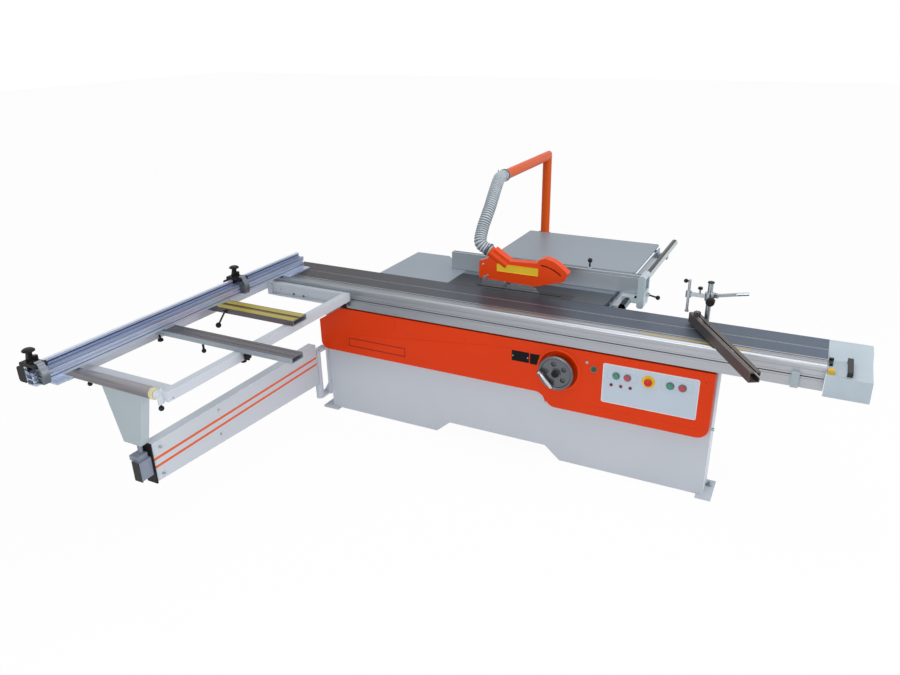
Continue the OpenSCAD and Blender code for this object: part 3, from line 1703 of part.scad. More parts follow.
rail_cabinet();
saw_cabinet();
base_bolts();
front_cover();
control_panel();
panel_trim();
rail_beam();
main_table();
table_insert();
left_extension();
rear_extension();
guide_bar();
edge_rail();
hinge_bracket();
dust_pipe();
dust_hose();
handwheel();
crank_handle();
start_button();
button_green_a();
button_red_a();
button_green_b();
button_red_b();
estop_mushroom();
trunnion_frame();
riving_knife();
guard_hood();
motor_carriage();
arbor();
saw_blade();
motor_pulley();
scoring_blade();
roller_cage();
carriage_profile();
scale_strips();
end_cap();
yellow_button();
cap_latch();
clamp_hardware();
side_bars();
frame_ends();
cross_bars();
outer_roller();
support_leg();
bar_lever();
crosscut_fence();
stop_near();
stop_near_finger();
stop_far();
stop_far_finger();
mitre_bar();
clamp_column();
clamp_arm();
clamp_lever();
swing_arm();
arm_guides();
arm_tube();
fence_head();
head_lever();
rip_fence();
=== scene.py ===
# %% [markdown]
# # A sliding table saw, dressed for its picture
# The solids of this saw come from a CAD part and stay where they are. Blender adds what CAD leaves out:
# broken edges, the ribbed hose, screws, strips and finishes. The frame is loaded first, because every
# piece made here rides on one of its bodies.

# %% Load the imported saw
import bpy
import json
import math
from mathutils import Matrix, Vector

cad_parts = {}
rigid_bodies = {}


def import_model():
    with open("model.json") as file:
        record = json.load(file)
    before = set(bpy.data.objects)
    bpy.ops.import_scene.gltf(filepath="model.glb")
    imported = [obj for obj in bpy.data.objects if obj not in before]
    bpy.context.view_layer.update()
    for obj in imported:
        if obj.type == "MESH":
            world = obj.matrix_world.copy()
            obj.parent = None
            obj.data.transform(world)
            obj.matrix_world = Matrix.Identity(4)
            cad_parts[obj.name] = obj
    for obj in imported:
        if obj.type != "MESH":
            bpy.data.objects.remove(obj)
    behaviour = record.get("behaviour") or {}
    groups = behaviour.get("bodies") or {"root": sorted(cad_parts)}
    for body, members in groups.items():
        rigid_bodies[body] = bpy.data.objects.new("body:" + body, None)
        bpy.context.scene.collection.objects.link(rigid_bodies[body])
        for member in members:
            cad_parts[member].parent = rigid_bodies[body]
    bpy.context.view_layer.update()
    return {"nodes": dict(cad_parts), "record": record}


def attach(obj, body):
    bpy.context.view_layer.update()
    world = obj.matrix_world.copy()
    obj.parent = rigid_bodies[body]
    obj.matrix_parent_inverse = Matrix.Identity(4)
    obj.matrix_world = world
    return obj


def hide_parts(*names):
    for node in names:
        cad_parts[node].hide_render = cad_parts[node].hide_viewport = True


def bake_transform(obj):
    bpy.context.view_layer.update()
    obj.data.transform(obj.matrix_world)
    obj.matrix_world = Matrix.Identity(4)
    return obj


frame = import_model()

# %% [markdown]
# ## Millimetres of the layout
# The saw was laid out in millimetres from the middle of its base, with the floor at zero. The packed
# part has its origin in the middle of its box. One small function turns the layout's numbers into
# places in the scene, so that every later cell can speak in millimetres.

# %% Layout helpers
LAYOUT_ZERO = Vector((107.75, 56.0, 0.0))
MM = 0.001


def at(x, y, z):
    return (Vector((x, y, z)) - LAYOUT_ZERO) * MM


print("the blade's middle is at", [round(v, 4) for v in at(0, 341, 790)])

# %% [markdown]
# ## Camera
# The picture was taken from in front and above, a little to the right of the machine. The viewing
# angle was worked out from the long straight edges of the carriage and the frame, which meet in three
# vanishing points. The camera is built from those angles, so that the render lies on the picture. It could be
# placed by eye, but the long parallel bars show every small error of angle.

# %% Place the camera
CAMERA_AT = (1507, -3539, 2347.2)
YAW, PITCH, ROLL = math.radians(-27.143), math.radians(23.005), math.radians(-0.947)
LENS_MM = 29.652
SENSOR_MM = 36


def camera_turn():
    ahead = Vector((math.sin(YAW) * math.cos(PITCH), math.cos(YAW) * math.cos(PITCH), -math.sin(PITCH)))
    right = Vector((math.cos(YAW), -math.sin(YAW), 0))
    up = right.cross(ahead)
    side = math.cos(ROLL) * right + math.sin(ROLL) * up
    top = -math.sin(ROLL) * right + math.cos(ROLL) * up
    turn = Matrix((side, top, -ahead)).transposed()
    return turn.to_4x4()


camera = bpy.data.objects.new("camera", bpy.data.cameras.new("camera"))
bpy.context.scene.collection.objects.link(camera)
camera.matrix_world = Matrix.Translation(at(*CAMERA_AT)) @ camera_turn()
camera.data.lens = LENS_MM
camera.data.sensor_width = SENSOR_MM
camera.data.clip_end = 60
bpy.context.scene.camera = camera
print("camera at", [round(v, 3) for v in camera.location])

# %% [markdown]
# ## Sums with shader sockets
# A procedural finish is mostly arithmetic on places and noises. This class wraps a socket, so that such
# arithmetic can be written as plain Python: each plus or times adds a Math node to the material.

# %% Wrap a socket
class Wire:
    def __init__(self, tree, socket):
        self.tree = tree
        self.socket = socket

    def sum(self, operation, *values):
        node = self.tree.nodes.new("ShaderNodeMath")
        node.operation = operation
        for slot, value in zip(node.inputs, values):
            feed(self.tree, slot, value)
        return Wire(self.tree, node.outputs[0])

    def __add__(self, other):
        return self.sum("ADD", self, other)

    def __sub__(self, other):
        return self.sum("SUBTRACT", self, other)

    def __rsub__(self, other):
        return self.sum("SUBTRACT", other, self)

    def __mul__(self, other):
        return self.sum("MULTIPLY", self, other)

    def __gt__(self, other):
        return self.sum("GREATER_THAN", self, other)

    def __lt__(self, other):
        return self.sum("LESS_THAN", self, other)

    __radd__ = __add__


def feed(tree, slot, value):
    if isinstance(value, Wire):
        tree.links.new(value.socket, slot)
    elif isinstance(value, (tuple, list)) and len(value) == 3 and slot.type == "RGBA":
        slot.default_value = (*value, 1)
    else:
        slot.default_value = value


def colour(red, green, blue):
    """A colour as a picture shows it, from 0 to 255, turned into the light that a shader needs."""
    return tuple(((c / 255 + 0.055) / 1.055) ** 2.4 if c > 10 else c / 255 / 12.92
                 for c in (red, green, blue))


print("orange as light:", [round(c, 3) for c in colour(226, 78, 28)])

# %% [markdown]
# ## One kind of finish
# Every finish starts with the same shader and differs in its colours, its gloss and the small relief of
# its surface. A finish knows the place of each point in layout millimetres, so a colour can be kept to a
# band, a strip or a knob that shares a solid with another colour.

# %% Build finishes
class Finish:
    def __init__(self, name, metal=0.0, rough=0.5, coat=0.0):
        self.material = bpy.data.materials.new(name)
        self.material.use_nodes = True
        self.tree = self.material.node_tree
        self.shader = self.tree.nodes["Principled BSDF"]
        self.shader.inputs["Metallic"].default_value = metal
        self.shader.inputs["Roughness"].default_value = rough
        self.shader.inputs["Coat Weight"].default_value = coat
        self.place = self.node("ShaderNodeTexCoord", out="Object")
        millimetres = self.node("ShaderNodeVectorMath", {"operation": "MULTIPLY_ADD"},
                                {0: self.place, 1: (1000, 1000, 1000), 2: tuple(LAYOUT_ZERO)})
        split = self.node("ShaderNodeSeparateXYZ", {}, {0: millimetres}, out=None)
        self.x, self.y, self.z = (Wire(self.tree, s) for s in split.outputs)

    def node(self, kind, settings=None, values=None, out=0):
        made = self.tree.nodes.new(kind)
        for key, value in (settings or {}).items():
            setattr(made, key, value)
        for key, value in (values or {}).items():
            feed(self.tree, made.inputs[key], value)
        return made if out is None else Wire(self.tree, made.outputs[out])

    def noise(self, scale, detail=2.0, stretch=(1, 1, 1)):
        mapped = self.node("ShaderNodeMapping", {}, {"Vector": self.place, "Scale": stretch})
        return self.node("ShaderNodeTexNoise", {}, {"Vector": mapped, "Scale": scale, "Detail": detail})

    def within(self, x=None, y=None, z=None):
        """1 inside a box of layout millimetres, 0 outside."""
        mask = None
        for axis, span in ((self.x, x), (self.y, y), (self.z, z)):
            if span:
                inside = (axis > span[0]) * (axis < span[1])
                mask = inside if mask is None else mask * inside
        return mask

    def mix(self, share, first, second):
        made = self.node("ShaderNodeMix", {"data_type": "RGBA"}, out=None)
        for index, value in ((0, share), (6, first), (7, second)):
            feed(self.tree, made.inputs[index], value)
        return Wire(self.tree, made.outputs[2])

    def finish(self, base, rough=None, metal=None, relief=None, depth=0.0002, strength=0.3):
        feed(self.tree, self.shader.inputs["Base Color"], base)
        if rough is not None:
            feed(self.tree, self.shader.inputs["Roughness"], rough)
        if metal is not None:
            feed(self.tree, self.shader.inputs["Metallic"], metal)
        if relief is not None:
            bump = self.node("ShaderNodeBump", {},
                             {"Height": relief, "Distance": depth, "Strength": strength})
            feed(self.tree, self.shader.inputs["Normal"], bump)
        return self.material


# %% [markdown]
# ## Powder coat
# The cabinets, the arm and the frame are sheet steel with a light grey-white powder coat. Powder leaves
# a fine orange-peel skin and a satin gloss. The swing arm carries two orange lines in its pressed
# grooves, and nothing is lettered between them. Boxes of another colour are painted on by place.

# %% White, orange and grey coats
WHITE = colour(203, 210, 218)
ORANGE = colour(230, 60, 0)
PIPE_ORANGE = colour(226, 88, 20)
HEAD_GREY = colour(132, 140, 156)


def powder(name, tint, darker=0.93, stripes=()):
    coat = Finish(name, rough=0.42)
    coat.shader.inputs["Specular IOR Level"].default_value = 0.35
    cloud = coat.noise(3.0)
    skin = coat.noise(900.0, 1.0)
    shade = tuple(c * darker for c in tint)
    base = coat.mix(cloud, shade, tint)
    for box, stripe in stripes:
        base = coat.mix(coat.within(**box), base, stripe)
    return coat.finish(base, rough=0.36 + cloud * 0.14, relief=skin, depth=0.0001, strength=0.25)


white_coat = powder("white powder coat", WHITE)
ARM_LINE = colour(226, 96, 36)
arm_coat = powder("arm coat with two lines", WHITE,
                  stripes=[({"z": (361, 375), "y": (-1446, -128)}, ARM_LINE),
                           ({"z": (404, 418), "y": (-1446, -128)}, ARM_LINE)])
tube_coat = powder("arm tube with its grey head", WHITE,
                   stripes=[({"y": (-1600, -1456)}, HEAD_GREY),
                            ({"y": (-1600, -1530)}, colour(10, 10, 12))])
leg_coat = powder("leg coat", colour(182, 194, 200))
grey_coat = powder("light grey coat", colour(152, 163, 174))
head_coat = powder("pale head coat", colour(192, 205, 211))


def gloss(name, tint, stripes=()):
    coat = Finish(name, rough=0.34, coat=0.05)
    coat.shader.inputs["Specular IOR Level"].default_value = 0.16
    cloud = coat.noise(2.2)
    base = coat.mix(cloud, tuple(c * 0.92 for c in tint), tint)
    for outer, inner, stripe in stripes:
        ring = coat.within(**outer) - coat.within(**inner)
        base = coat.mix(ring, base, stripe)
    return coat.finish(base, rough=0.3 + cloud * 0.12, relief=coat.noise(700.0, 1.0),
                       depth=0.0001, strength=0.2)


orange_coat = gloss("orange gloss coat", colour(242, 74, 12))
pipe_coat = gloss("orange pipe coat", PIPE_ORANGE)
cover_coat = gloss("cover coat with a bare name place", ORANGE,
                   stripes=[({"x": (-997, -593), "z": (496, 551), "y": (-41, -37)},
                             {"x": (-993, -597), "z": (500, 547), "y": (-41, -37)}, colour(70, 30, 22))])
print("coats:", white_coat.name, orange_coat.name, grey_coat.name)

# %% [markdown]
# ## Ground iron and steel
# The cast table's top is ground: long fine lines along the blade, on a dark grey iron. Its sides are
# painted. Round bars, screws and the blade are bright steel, drawn or turned, with the same recipe on a
# lighter colour.

# %% Iron, steel and zinc
def ground(name, tint, rough=0.34, lines=(4, 260, 260), metal=1.0):
    steel = Finish(name, metal=metal, rough=rough)
    grain = steel.noise(1.6, 3.0, lines)
    cloud = steel.noise(5.0)
    base = steel.mix(grain * 0.6 + cloud * 0.4, tuple(c * 0.72 for c in tint), tint)
    return steel.finish(base, rough=rough - 0.06 + grain * 0.14, relief=grain, depth=0.00005, strength=0.3)


RIP_FENCE_Y = 506
TABLE_LEFT_X = -470


def table_finish():
    """The top lies in painted light behind the rip fence and in painted shade in front of it; both painted
    tones grow lighter towards the right.
    """
    iron = Finish("ground table iron", metal=0.6, rough=0.42)
    grain = iron.noise(1.6, 3.0, (4, 260, 260))
    cloud = iron.noise(5.0)
    # Painted light: both tones are painted lighter towards the right, where the light comes from.
    metres = (iron.x - TABLE_LEFT_X) * 0.001
    along = metres.sum("MINIMUM", metres, 1.0)
    behind = iron.mix(along, colour(134, 145, 152), colour(150, 163, 177))
    shaded = iron.mix(along, colour(48, 50, 54), colour(84, 90, 98))
    # Painted shade in front of the rip fence, painted light behind it.
    base = iron.mix(iron.y < RIP_FENCE_Y, behind, shaded)
    base = iron.mix((grain * 0.6 + cloud * 0.4) * 0.4, base, colour(92, 98, 106))
    return iron.finish(base, rough=0.38 + grain * 0.12, relief=grain, depth=0.00005, strength=0.3)


iron_top = table_finish()
dark_iron = ground("cast iron, machined", colour(96, 98, 102), rough=0.5, metal=0.8)
bright_steel = ground("drawn steel", colour(206, 208, 211), rough=0.24)
zinc = ground("zinc plated steel", colour(172, 183, 188), rough=0.28, lines=(60, 60, 60))
wheel_iron = ground("turned wheel iron", colour(110, 114, 119), rough=0.3, lines=(60, 60, 60), metal=0.9)
rail_aluminium = ground("edge rail", colour(166, 178, 192), rough=0.36, lines=(200, 4, 200), metal=0.8)
insert_aluminium = ground("table insert", colour(70, 71, 75), rough=0.42, metal=0.6)
print("table finish:", iron_top.name, "with", len(iron_top.node_tree.nodes), "nodes")

# %% [markdown]
# ## Plastics
# Knobs and grips are black moulded plastic, dull, with a fine grain. Buttons are coloured and glossier.

# %% Plastics
def moulded(name, tint, rough=0.5, bands=(), shine=0.35):
    skin = Finish(name, rough=rough)
    skin.shader.inputs["Specular IOR Level"].default_value = shine
    grain = skin.noise(420.0, 2.0)
    cloud = skin.noise(9.0)
    base = skin.mix(cloud, tuple(c * 0.85 for c in tint), tint)
    for box, other in bands:
        base = skin.mix(skin.within(**box), base, other)
    return skin.finish(base, rough=rough - 0.05 + cloud * 0.1, relief=grain, depth=0.0001, strength=0.35)


BLACK = colour(24, 24, 26)
black_plastic = moulded("black grip plastic", BLACK, 0.4, shine=0.16)
green_plastic = moulded("teal button", colour(66, 150, 124), 0.3)
start_green = moulded("dark green button", colour(24, 84, 54), 0.3)
red_plastic = moulded("dusty red button", colour(192, 74, 82), 0.3)
stop_red = moulded("emergency red", colour(206, 38, 30), 0.3)
yellow_plastic = moulded("yellow plastic", colour(232, 186, 48), 0.38)
label_yellow = moulded("bare label", colour(248, 208, 44), 0.4)
print("plastics:", black_plastic.name, green_plastic.name, yellow_plastic.name)

# %% [markdown]
# ## The carriage's aluminium
# One drawn profile shows three bands. Its front is bright brushed aluminium, its nose is painted in the same
# bright colours, and the top behind the T-slot is dark anodised with fine ribs. All three are painted lighter
# towards the right end, as painted light from that side. The bands are chosen by place, and the drawing lines
# run along the travel. Painting by place keeps the profile one solid, as it is drawn. The mitre bar, the
# crosscut fence, the outrigger's bars and the guide bar get the same recipe.

# %% Carriage finish
CARRIAGE_LEFT_X = -1555
CARRIAGE_TOP_Z = 878.9
RIBBED_FROM_Y = 42


def carriage_finish():
    metal = Finish("drawn carriage aluminium", metal=0.9, rough=0.36)
    lines = metal.noise(2.0, 4.0, (1.5, 300, 300))
    # Painted light: both tones grow lighter towards the right end of the carriage.
    along = (metal.x - CARRIAGE_LEFT_X) * 0.000312
    bright = metal.mix(lines, metal.mix(along, colour(112, 118, 124), colour(148, 150, 157)),
                       metal.mix(along, colour(158, 164, 169), colour(200, 203, 208)))
    dark = metal.mix(lines, metal.mix(along, colour(40, 36, 38), colour(84, 95, 111)),
                     metal.mix(along, colour(84, 78, 81), colour(110, 124, 141)))
    top = metal.z > CARRIAGE_TOP_Z
    band = (metal.y > RIBBED_FROM_Y) * top
    land = metal.within(y=(36, 41)) + metal.within(y=(158, 168))
    base = metal.mix(band, bright, dark)
    base = metal.mix(land * top, base, bright)
    return metal.finish(base, rough=0.3 + lines * 0.16 + band * 0.08, relief=lines,
                        depth=0.00006, strength=0.3)


carriage_aluminium = carriage_finish()


def mitre_finish():
    """Grey on top, and brown on its sides: a painted reflection of the orange cover."""
    metal = Finish("mitre bar, dark anodised", metal=0.7, rough=0.34)
    lines = metal.noise(2.0, 3.0, (6, 180, 180))
    # Painted reflection: the sides are tinted brown by the orange cover beside them.
    side = metal.mix(lines, colour(70, 64, 63), colour(116, 106, 102))
    top = metal.mix(lines, colour(66, 68, 72), colour(104, 108, 114))
    base = metal.mix(metal.z > 956.5, side, top)
    return metal.finish(base, rough=0.28 + lines * 0.16, relief=lines, depth=0.00006, strength=0.3)


mitre_with_painted_reflection = mitre_finish()


def fence_finish():
    metal = Finish("crosscut fence", metal=0.55, rough=0.32)
    lines = metal.noise(1.6, 3.0, (260, 4, 260))
    face = metal.mix(lines, colour(166, 178, 200), colour(200, 210, 228))
    # Painted highlight: the top face is painted lighter than the front face.
    top = metal.mix(lines, colour(196, 208, 222), colour(226, 236, 246))
    base = metal.mix(metal.z > 975.5, face, top)
    base = metal.mix(metal.within(z=(939, 959)), base, colour(150, 162, 190))
    for low, high in ((900, 903.5), (936, 939)):
        base = metal.mix(metal.within(z=(low, high)), base, colour(84, 98, 122))
    base = metal.mix(metal.within(z=(959, 965)), base, colour(40, 52, 92))
    base = metal.mix(metal.within(x=(-1500, -1484), z=(965, 977)), base, colour(16, 26, 50))
    return metal.finish(base, rough=0.26 + lines * 0.14, relief=lines, depth=0.00006, strength=0.3)


def bar_finish():
    metal = Finish("outrigger bars", metal=0.5, rough=0.36)
    lines = metal.noise(1.6, 3.0, (4, 220, 220))
    bright = metal.mix(lines, colour(138, 147, 156), colour(172, 180, 188))
    dark = metal.mix(lines, colour(74, 69, 74), colour(104, 98, 103))
    gold = metal.mix(lines, colour(96, 84, 34), colour(134, 118, 52))
    near = metal.within(y=(-621, -619.5))
    base = metal.mix((metal.z > 878.5) + near, bright, dark)
    base = metal.mix(metal.within(y=(-571, -551), z=(876, 881)), base, gold)
    return metal.finish(base, rough=0.3 + lines * 0.14, relief=lines, depth=0.00006, strength=0.3)


def guide_bar_painted_reflection():
    """The round guide bar is bright drawn steel that mirrors the light floor, and black and dull between 560
    and 601 mm across: a painted reflection of a dark room.
    """
    metal = Finish("guide bar", metal=0.8, rough=0.2)
    lines = metal.noise(1.6, 3.0, (220, 4, 220))
    bright = metal.mix(lines, colour(150, 160, 166), colour(206, 216, 220))
    # Painted reflection: this strip of the bar is painted black and dull.
    dark = metal.within(x=(560, 601), z=(844, 880))
    metal.shader.inputs["Specular IOR Level"].default_value = 0.2
    return metal.finish(metal.mix(dark, bright, colour(18, 20, 24)), rough=0.2 + lines * 0.1,
                        metal=0.8 - dark * 0.8, relief=lines, depth=0.00005, strength=0.2)


guide_steel = guide_bar_painted_reflection()
fence_aluminium = fence_finish()
bar_aluminium = bar_finish()
print("carriage finish:", carriage_aluminium.name)

# %% [markdown]
# ## Broken edges
# No real edge is perfectly sharp: sheet is folded, castings are rounded and cut bars are deburred. A
# thin bright line along an edge is what makes an object look real. Each visible solid is copied, its
# loose triangles are merged back into faces, and a Bevel modifier breaks the edges. The copy then
# stands for the CAD node, on the same body.

# %% Copy a node and break its edges
BODY_OF = {n: b for b, names in frame["record"]["behaviour"]["bodies"].items() for n in names}


def deselect():
    for other in bpy.context.view_layer.objects:
        other.select_set(False)


def pick(piece):
    deselect()
    piece.select_set(True)
    bpy.context.view_layer.objects.active = piece


def settle(piece, body, material):
    """Smooths a finished piece, paints it and puts it on its body."""
    pick(piece)
    bpy.ops.object.transform_apply(location=True, rotation=True, scale=True)
    bpy.ops.object.shade_smooth_by_angle(angle=math.radians(32))
    even = piece.modifiers.new("flat faces stay flat", "WEIGHTED_NORMAL")
    even.keep_sharp = True
    bpy.ops.object.modifier_apply(modifier=even.name)
    piece.data.materials.clear()
    piece.data.materials.append(material)
    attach(piece, body)
    return piece


def broken_edges(node, width_mm, material, steps=2, angle=38):
    source = frame["nodes"][node]
    piece = bpy.data.objects.new(node + "_dressed", source.data.copy())
    bpy.context.scene.collection.objects.link(piece)
    pick(piece)
    bpy.ops.object.mode_set(mode="EDIT")
    bpy.ops.mesh.select_all(action="SELECT")
    bpy.ops.mesh.remove_doubles(threshold=0.00002)
    bpy.ops.mesh.dissolve_limited(angle_limit=math.radians(0.6))
    bpy.ops.object.mode_set(mode="OBJECT")
    bevel = piece.modifiers.new("broken edges", "BEVEL")
    bevel.width = width_mm * MM
    bevel.segments = steps
    bevel.limit_method = "ANGLE"
    bevel.angle_limit = math.radians(angle)
    bpy.ops.object.modifier_apply(modifier=bevel.name)
    settle(piece, BODY_OF[node], material)
    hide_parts(node)
    return piece


# %% [markdown]
# ## Solids that keep their CAD shape
# Some nodes are right as they come, such as the drawn carriage with its fine ribs and the machinery
# under the table. They only get a finish.

# %% Paint nodes as they are
def paint_node(node, material):
    for slot in frame["nodes"][node].material_slots:
        slot.material = material


as_they_are = {
    "carriage_profile": carriage_aluminium, "roller_cage": zinc, "rail_beam": zinc,
    "trunnion_frame": dark_iron, "arbor": bright_steel, "saw_blade": bright_steel,
    "motor_pulley": zinc, "scoring_blade": bright_steel, "motor_carriage": dark_iron,
}
for node, material in as_they_are.items():
    paint_node(node, material)
print("painted as they are:", len(as_they_are))

# %% [markdown]
# ## Finishes for shared solids
# A few solids join two materials, such as the end cap with its black push handle. Their finish picks
# the colour by height or place.

# %% Two-colour finishes
cap_plastic = moulded("end cap and its handle", colour(196, 210, 219), 0.45,
                      bands=[({"x": (1728, 1754), "y": (-76, 106), "z": (855.5, 881)}, BLACK)])
clamp_bands = [({"y": (-70, -30), "x": (1500, 1545), "z": (740, 835)}, colour(176, 190, 194))]
clamp_plastic = moulded("clamp knobs and hook", BLACK, 0.45, bands=clamp_bands, shine=0.2)
PANEL, FRAME_LINE = colour(196, 208, 221), colour(226, 230, 233)
OUTLINE = colour(158, 190, 194)
panel_bands = [({"x": (600, 1120)}, FRAME_LINE), ({"x": (619, 1102), "z": (471, 689)}, PANEL),
               ({"x": (640, 796), "z": (608, 656)}, OUTLINE),
               ({"x": (641.6, 794.4), "z": (609.6, 654.4)}, PANEL),
               ({"x": (918, 1076), "z": (612, 660)}, OUTLINE),
               ({"x": (919.6, 1074.4), "z": (613.6, 658.4)}, PANEL),
               ({"x": (90, 270), "y": (-45, -39)}, colour(14, 11, 15)),
               ({"x": (102, 107), "y": (-45, -39), "z": (638, 643)}, FRAME_LINE),
               ({"x": (190, 195), "y": (-45, -39), "z": (638, 643)}, FRAME_LINE)]
panel_print = moulded("bare control panel", PANEL, 0.4, bands=panel_bands, shine=0.12)
bezel_plastic = moulded("bezels, lamps and yellow ring", colour(120, 124, 128), 0.35,
                        bands=[({"x": (815, 895)}, colour(236, 192, 30)),
                               ({"x": (650, 780), "z": (566, 586)}, colour(120, 20, 30))])
stripe_finish = moulded("yellow strips", colour(206, 178, 66), 0.4,
                        bands=[({"x": (-1700, -900)}, colour(176, 160, 58))])
print("panel boxes painted by place:", len(panel_bands))


def partly_black(name, tint, boxes, lines=(60, 60, 60), metallic=0.9, other=BLACK):
    """Zinc or aluminium with moulded knobs or coated heads on the same solid."""
    metal = Finish(name, metal=1.0, rough=0.34)
    grain = metal.noise(1.6, 3.0, lines)
    black = None
    for box in boxes:
        inside = metal.within(**box)
        black = inside if black is None else black.sum("MAXIMUM", black, inside)
    base = metal.mix(grain, tuple(c * 0.75 for c in tint), tint)
    metal.shader.inputs["Specular IOR Level"].default_value = 0.2
    return metal.finish(metal.mix(black, base, other), rough=0.3 + black * 0.16,
                        metal=metallic - black * metallic, relief=grain, depth=0.00005, strength=0.3)


arm_metal = partly_black("hold-down arm with black knobs", colour(188, 194, 200),
                         [{"x": (1059, 1105), "y": (170, 194), "z": (1014, 1062)},
                          {"x": (925, 956), "y": (220, 252), "z": (1094, 1120)},
                          {"x": (1003, 1031), "y": (222, 250), "z": (1069, 1088)}])
# Besides the knob, the second box paints a long thin black strip at the fence's rear, 988 to 1003 mm high.
rip_metal = partly_black("rip fence with its black knob", colour(182, 191, 198),
                         [{"x": (310, 356), "y": (560, 602), "z": (1004, 1060)},
                          {"x": (-600, 640), "y": (588, 600), "z": (988, 1003)}],
                         (4, 260, 260), metallic=0.35)


def roller_metal():
    """Dark steel, painted lighter towards its top as painted light and darker below as painted shade, with a
    cream ring at its end.
    """
    metal = Finish("roller with its end ring", rough=0.32)
    lines = metal.noise(1.6, 3.0, (4, 220, 220))
    low = metal.mix(lines, colour(58, 56, 60), colour(84, 81, 85))
    high = metal.mix(lines, colour(126, 124, 128), colour(170, 168, 172))
    # Painted light and shade: the tone grows lighter with height.
    base = metal.mix((metal.z - 826) * 0.02, low, high)
    ring = metal.within(x=(-1016, -990))
    base = metal.mix(ring, base, colour(214, 206, 160))
    base = metal.mix(metal.within(x=(-1016, -990), y=(-1535, -1509), z=(839, 865)), base, BLACK)
    return metal.finish(base, rough=0.28 + lines * 0.14, metal=0.6 - ring * 0.6, relief=lines,
                        depth=0.00005, strength=0.3)


roller_finish = roller_metal()
bolt_finish = partly_black("bolts, with coated heads on the cover", colour(172, 183, 188),
                           [{"x": (-700, 500), "y": (-60, -36), "z": (660, 700)},
                            {"x": (1100, 1160), "y": (-60, -36), "z": (660, 700)}], other=ORANGE)
stop_metal = ground("cast stop", colour(128, 134, 142), rough=0.4, lines=(60, 60, 60))

# %% [markdown]
# ## Break the edges of the visible solids
# The table below gives each node the width of its broken edge in millimetres and its finish.

# %% Dress the nodes
dressed = {
    "rail_cabinet": (2.0, white_coat), "saw_cabinet": (1.4, white_coat), "base_bolts": (0.8, bolt_finish),
    "front_cover": (1.2, cover_coat), "control_panel": (0.5, panel_print), "panel_trim": (0.8, bezel_plastic),
    "main_table": (1.5, iron_top), "table_insert": (0.6, insert_aluminium),
    "left_extension": (1.5, grey_coat), "rear_extension": (1.2, grey_coat), "guide_bar": (2.0, guide_steel),
    "edge_rail": (1.0, rail_aluminium), "hinge_bracket": (2.0, white_coat), "dust_pipe": (1.0, pipe_coat),
    "handwheel": (1.2, wheel_iron), "crank_handle": (1.5, bright_steel),
    "start_button": (1.5, start_green), "button_green_a": (1.5, green_plastic),
    "button_red_a": (1.5, red_plastic), "button_green_b": (1.5, green_plastic),
    "button_red_b": (1.5, red_plastic), "estop_mushroom": (0.8, stop_red),
    "riving_knife": (0.6, bright_steel), "guard_hood": (1.4, orange_coat),
    "scale_strips": (0.2, stripe_finish), "end_cap": (1.9, cap_plastic),
    "yellow_button": (1.5, yellow_plastic), "cap_latch": (1.5, black_plastic),
    "clamp_hardware": (1.0, clamp_plastic), "side_bars": (1.4, white_coat),
    "frame_ends": (1.4, white_coat), "cross_bars": (1.2, bar_aluminium), "outer_roller": (1.5, roller_finish),
    "support_leg": (1.4, leg_coat), "bar_lever": (1.0, black_plastic),
    "crosscut_fence": (0.8, fence_aluminium), "stop_near": (1.5, black_plastic),
    "stop_near_finger": (1.2, stop_metal), "stop_far": (1.5, black_plastic),
    "stop_far_finger": (1.2, stop_metal), "mitre_bar": (1.2, mitre_with_painted_reflection), "clamp_column": (1.5, zinc),
    "clamp_arm": (1.5, arm_metal), "clamp_lever": (1.2, zinc), "swing_arm": (1.8, arm_coat),
    "arm_guides": (1.2, black_plastic), "arm_tube": (1.2, tube_coat), "fence_head": (2.0, head_coat),
    "head_lever": (1.2, black_plastic), "rip_fence": (1.2, rip_metal),
}
for node, (width, material) in dressed.items():
    made = broken_edges(node, width, material)
    print(node, len(made.data.polygons), "faces")

# %% [markdown]
# ## Dust hose
# A ribbed plastic hose joins the hood to the pipe behind the table. It leaves the hood's outlet along
# the outlet, climbs beside the hood and lies over into the pipe's open end. It is one tube whose radius
# swells at each rib, made along the same points that the CAD hose follows. Each point also stores how
# deep it lies in a fold, so that the finish can paint shade into the folds. Rings of points give even
# ribs round a bend, where an array of ribs along a curve would pinch.

# %% Hose route
HOSE_R = 38.0
FOLD_DEPTH = 4.8
WAY = [(-200.25, 341, 1100.2), (-266.4, 341, 1141.5), (-283, 398, 1208), (-281, 448, 1268), (-282, 505, 1320),
       (-289, 565, 1367), (-302, 632, 1403), (-318, 703, 1430), (-336, 770, 1441), (-350, 828, 1440),
       (-350, 906, 1440)]


def along_way(share):
    """A point on the smooth curve through the route's points."""
    last = len(WAY) - 1
    k = min(int(share * last), last - 1)
    t = share * last - k
    p1, p2 = Vector(WAY[k]), Vector(WAY[k + 1])
    p0 = Vector(WAY[k - 1]) if k > 0 else 2 * p1 - p2
    p3 = Vector(WAY[k + 2]) if k < last - 1 else 2 * p2 - p1
    return 0.5 * (2 * p1 + t * (p2 - p0) + t * t * (2 * p0 - 5 * p1 + 4 * p2 - p3)
                  + t ** 3 * (3 * p1 - p0 - 3 * p2 + p3))


def even_way(count):
    """Points at equal steps along the route."""
    fine = [along_way(i / 600) for i in range(601)]
    travelled = [0.0]
    for a, b in zip(fine, fine[1:]):
        travelled.append(travelled[-1] + (b - a).length)
    points, j = [], 0
    for i in range(count + 1):
        goal = travelled[-1] * i / count
        while j < 599 and travelled[j + 1] < goal:
            j += 1
        share = (goal - travelled[j]) / (travelled[j + 1] - travelled[j])
        points.append(fine[j].lerp(fine[j + 1], share))
    return points, travelled[-1]


hose_line, hose_length = even_way(120)
print("hose length in mm:", round(hose_length, 1))


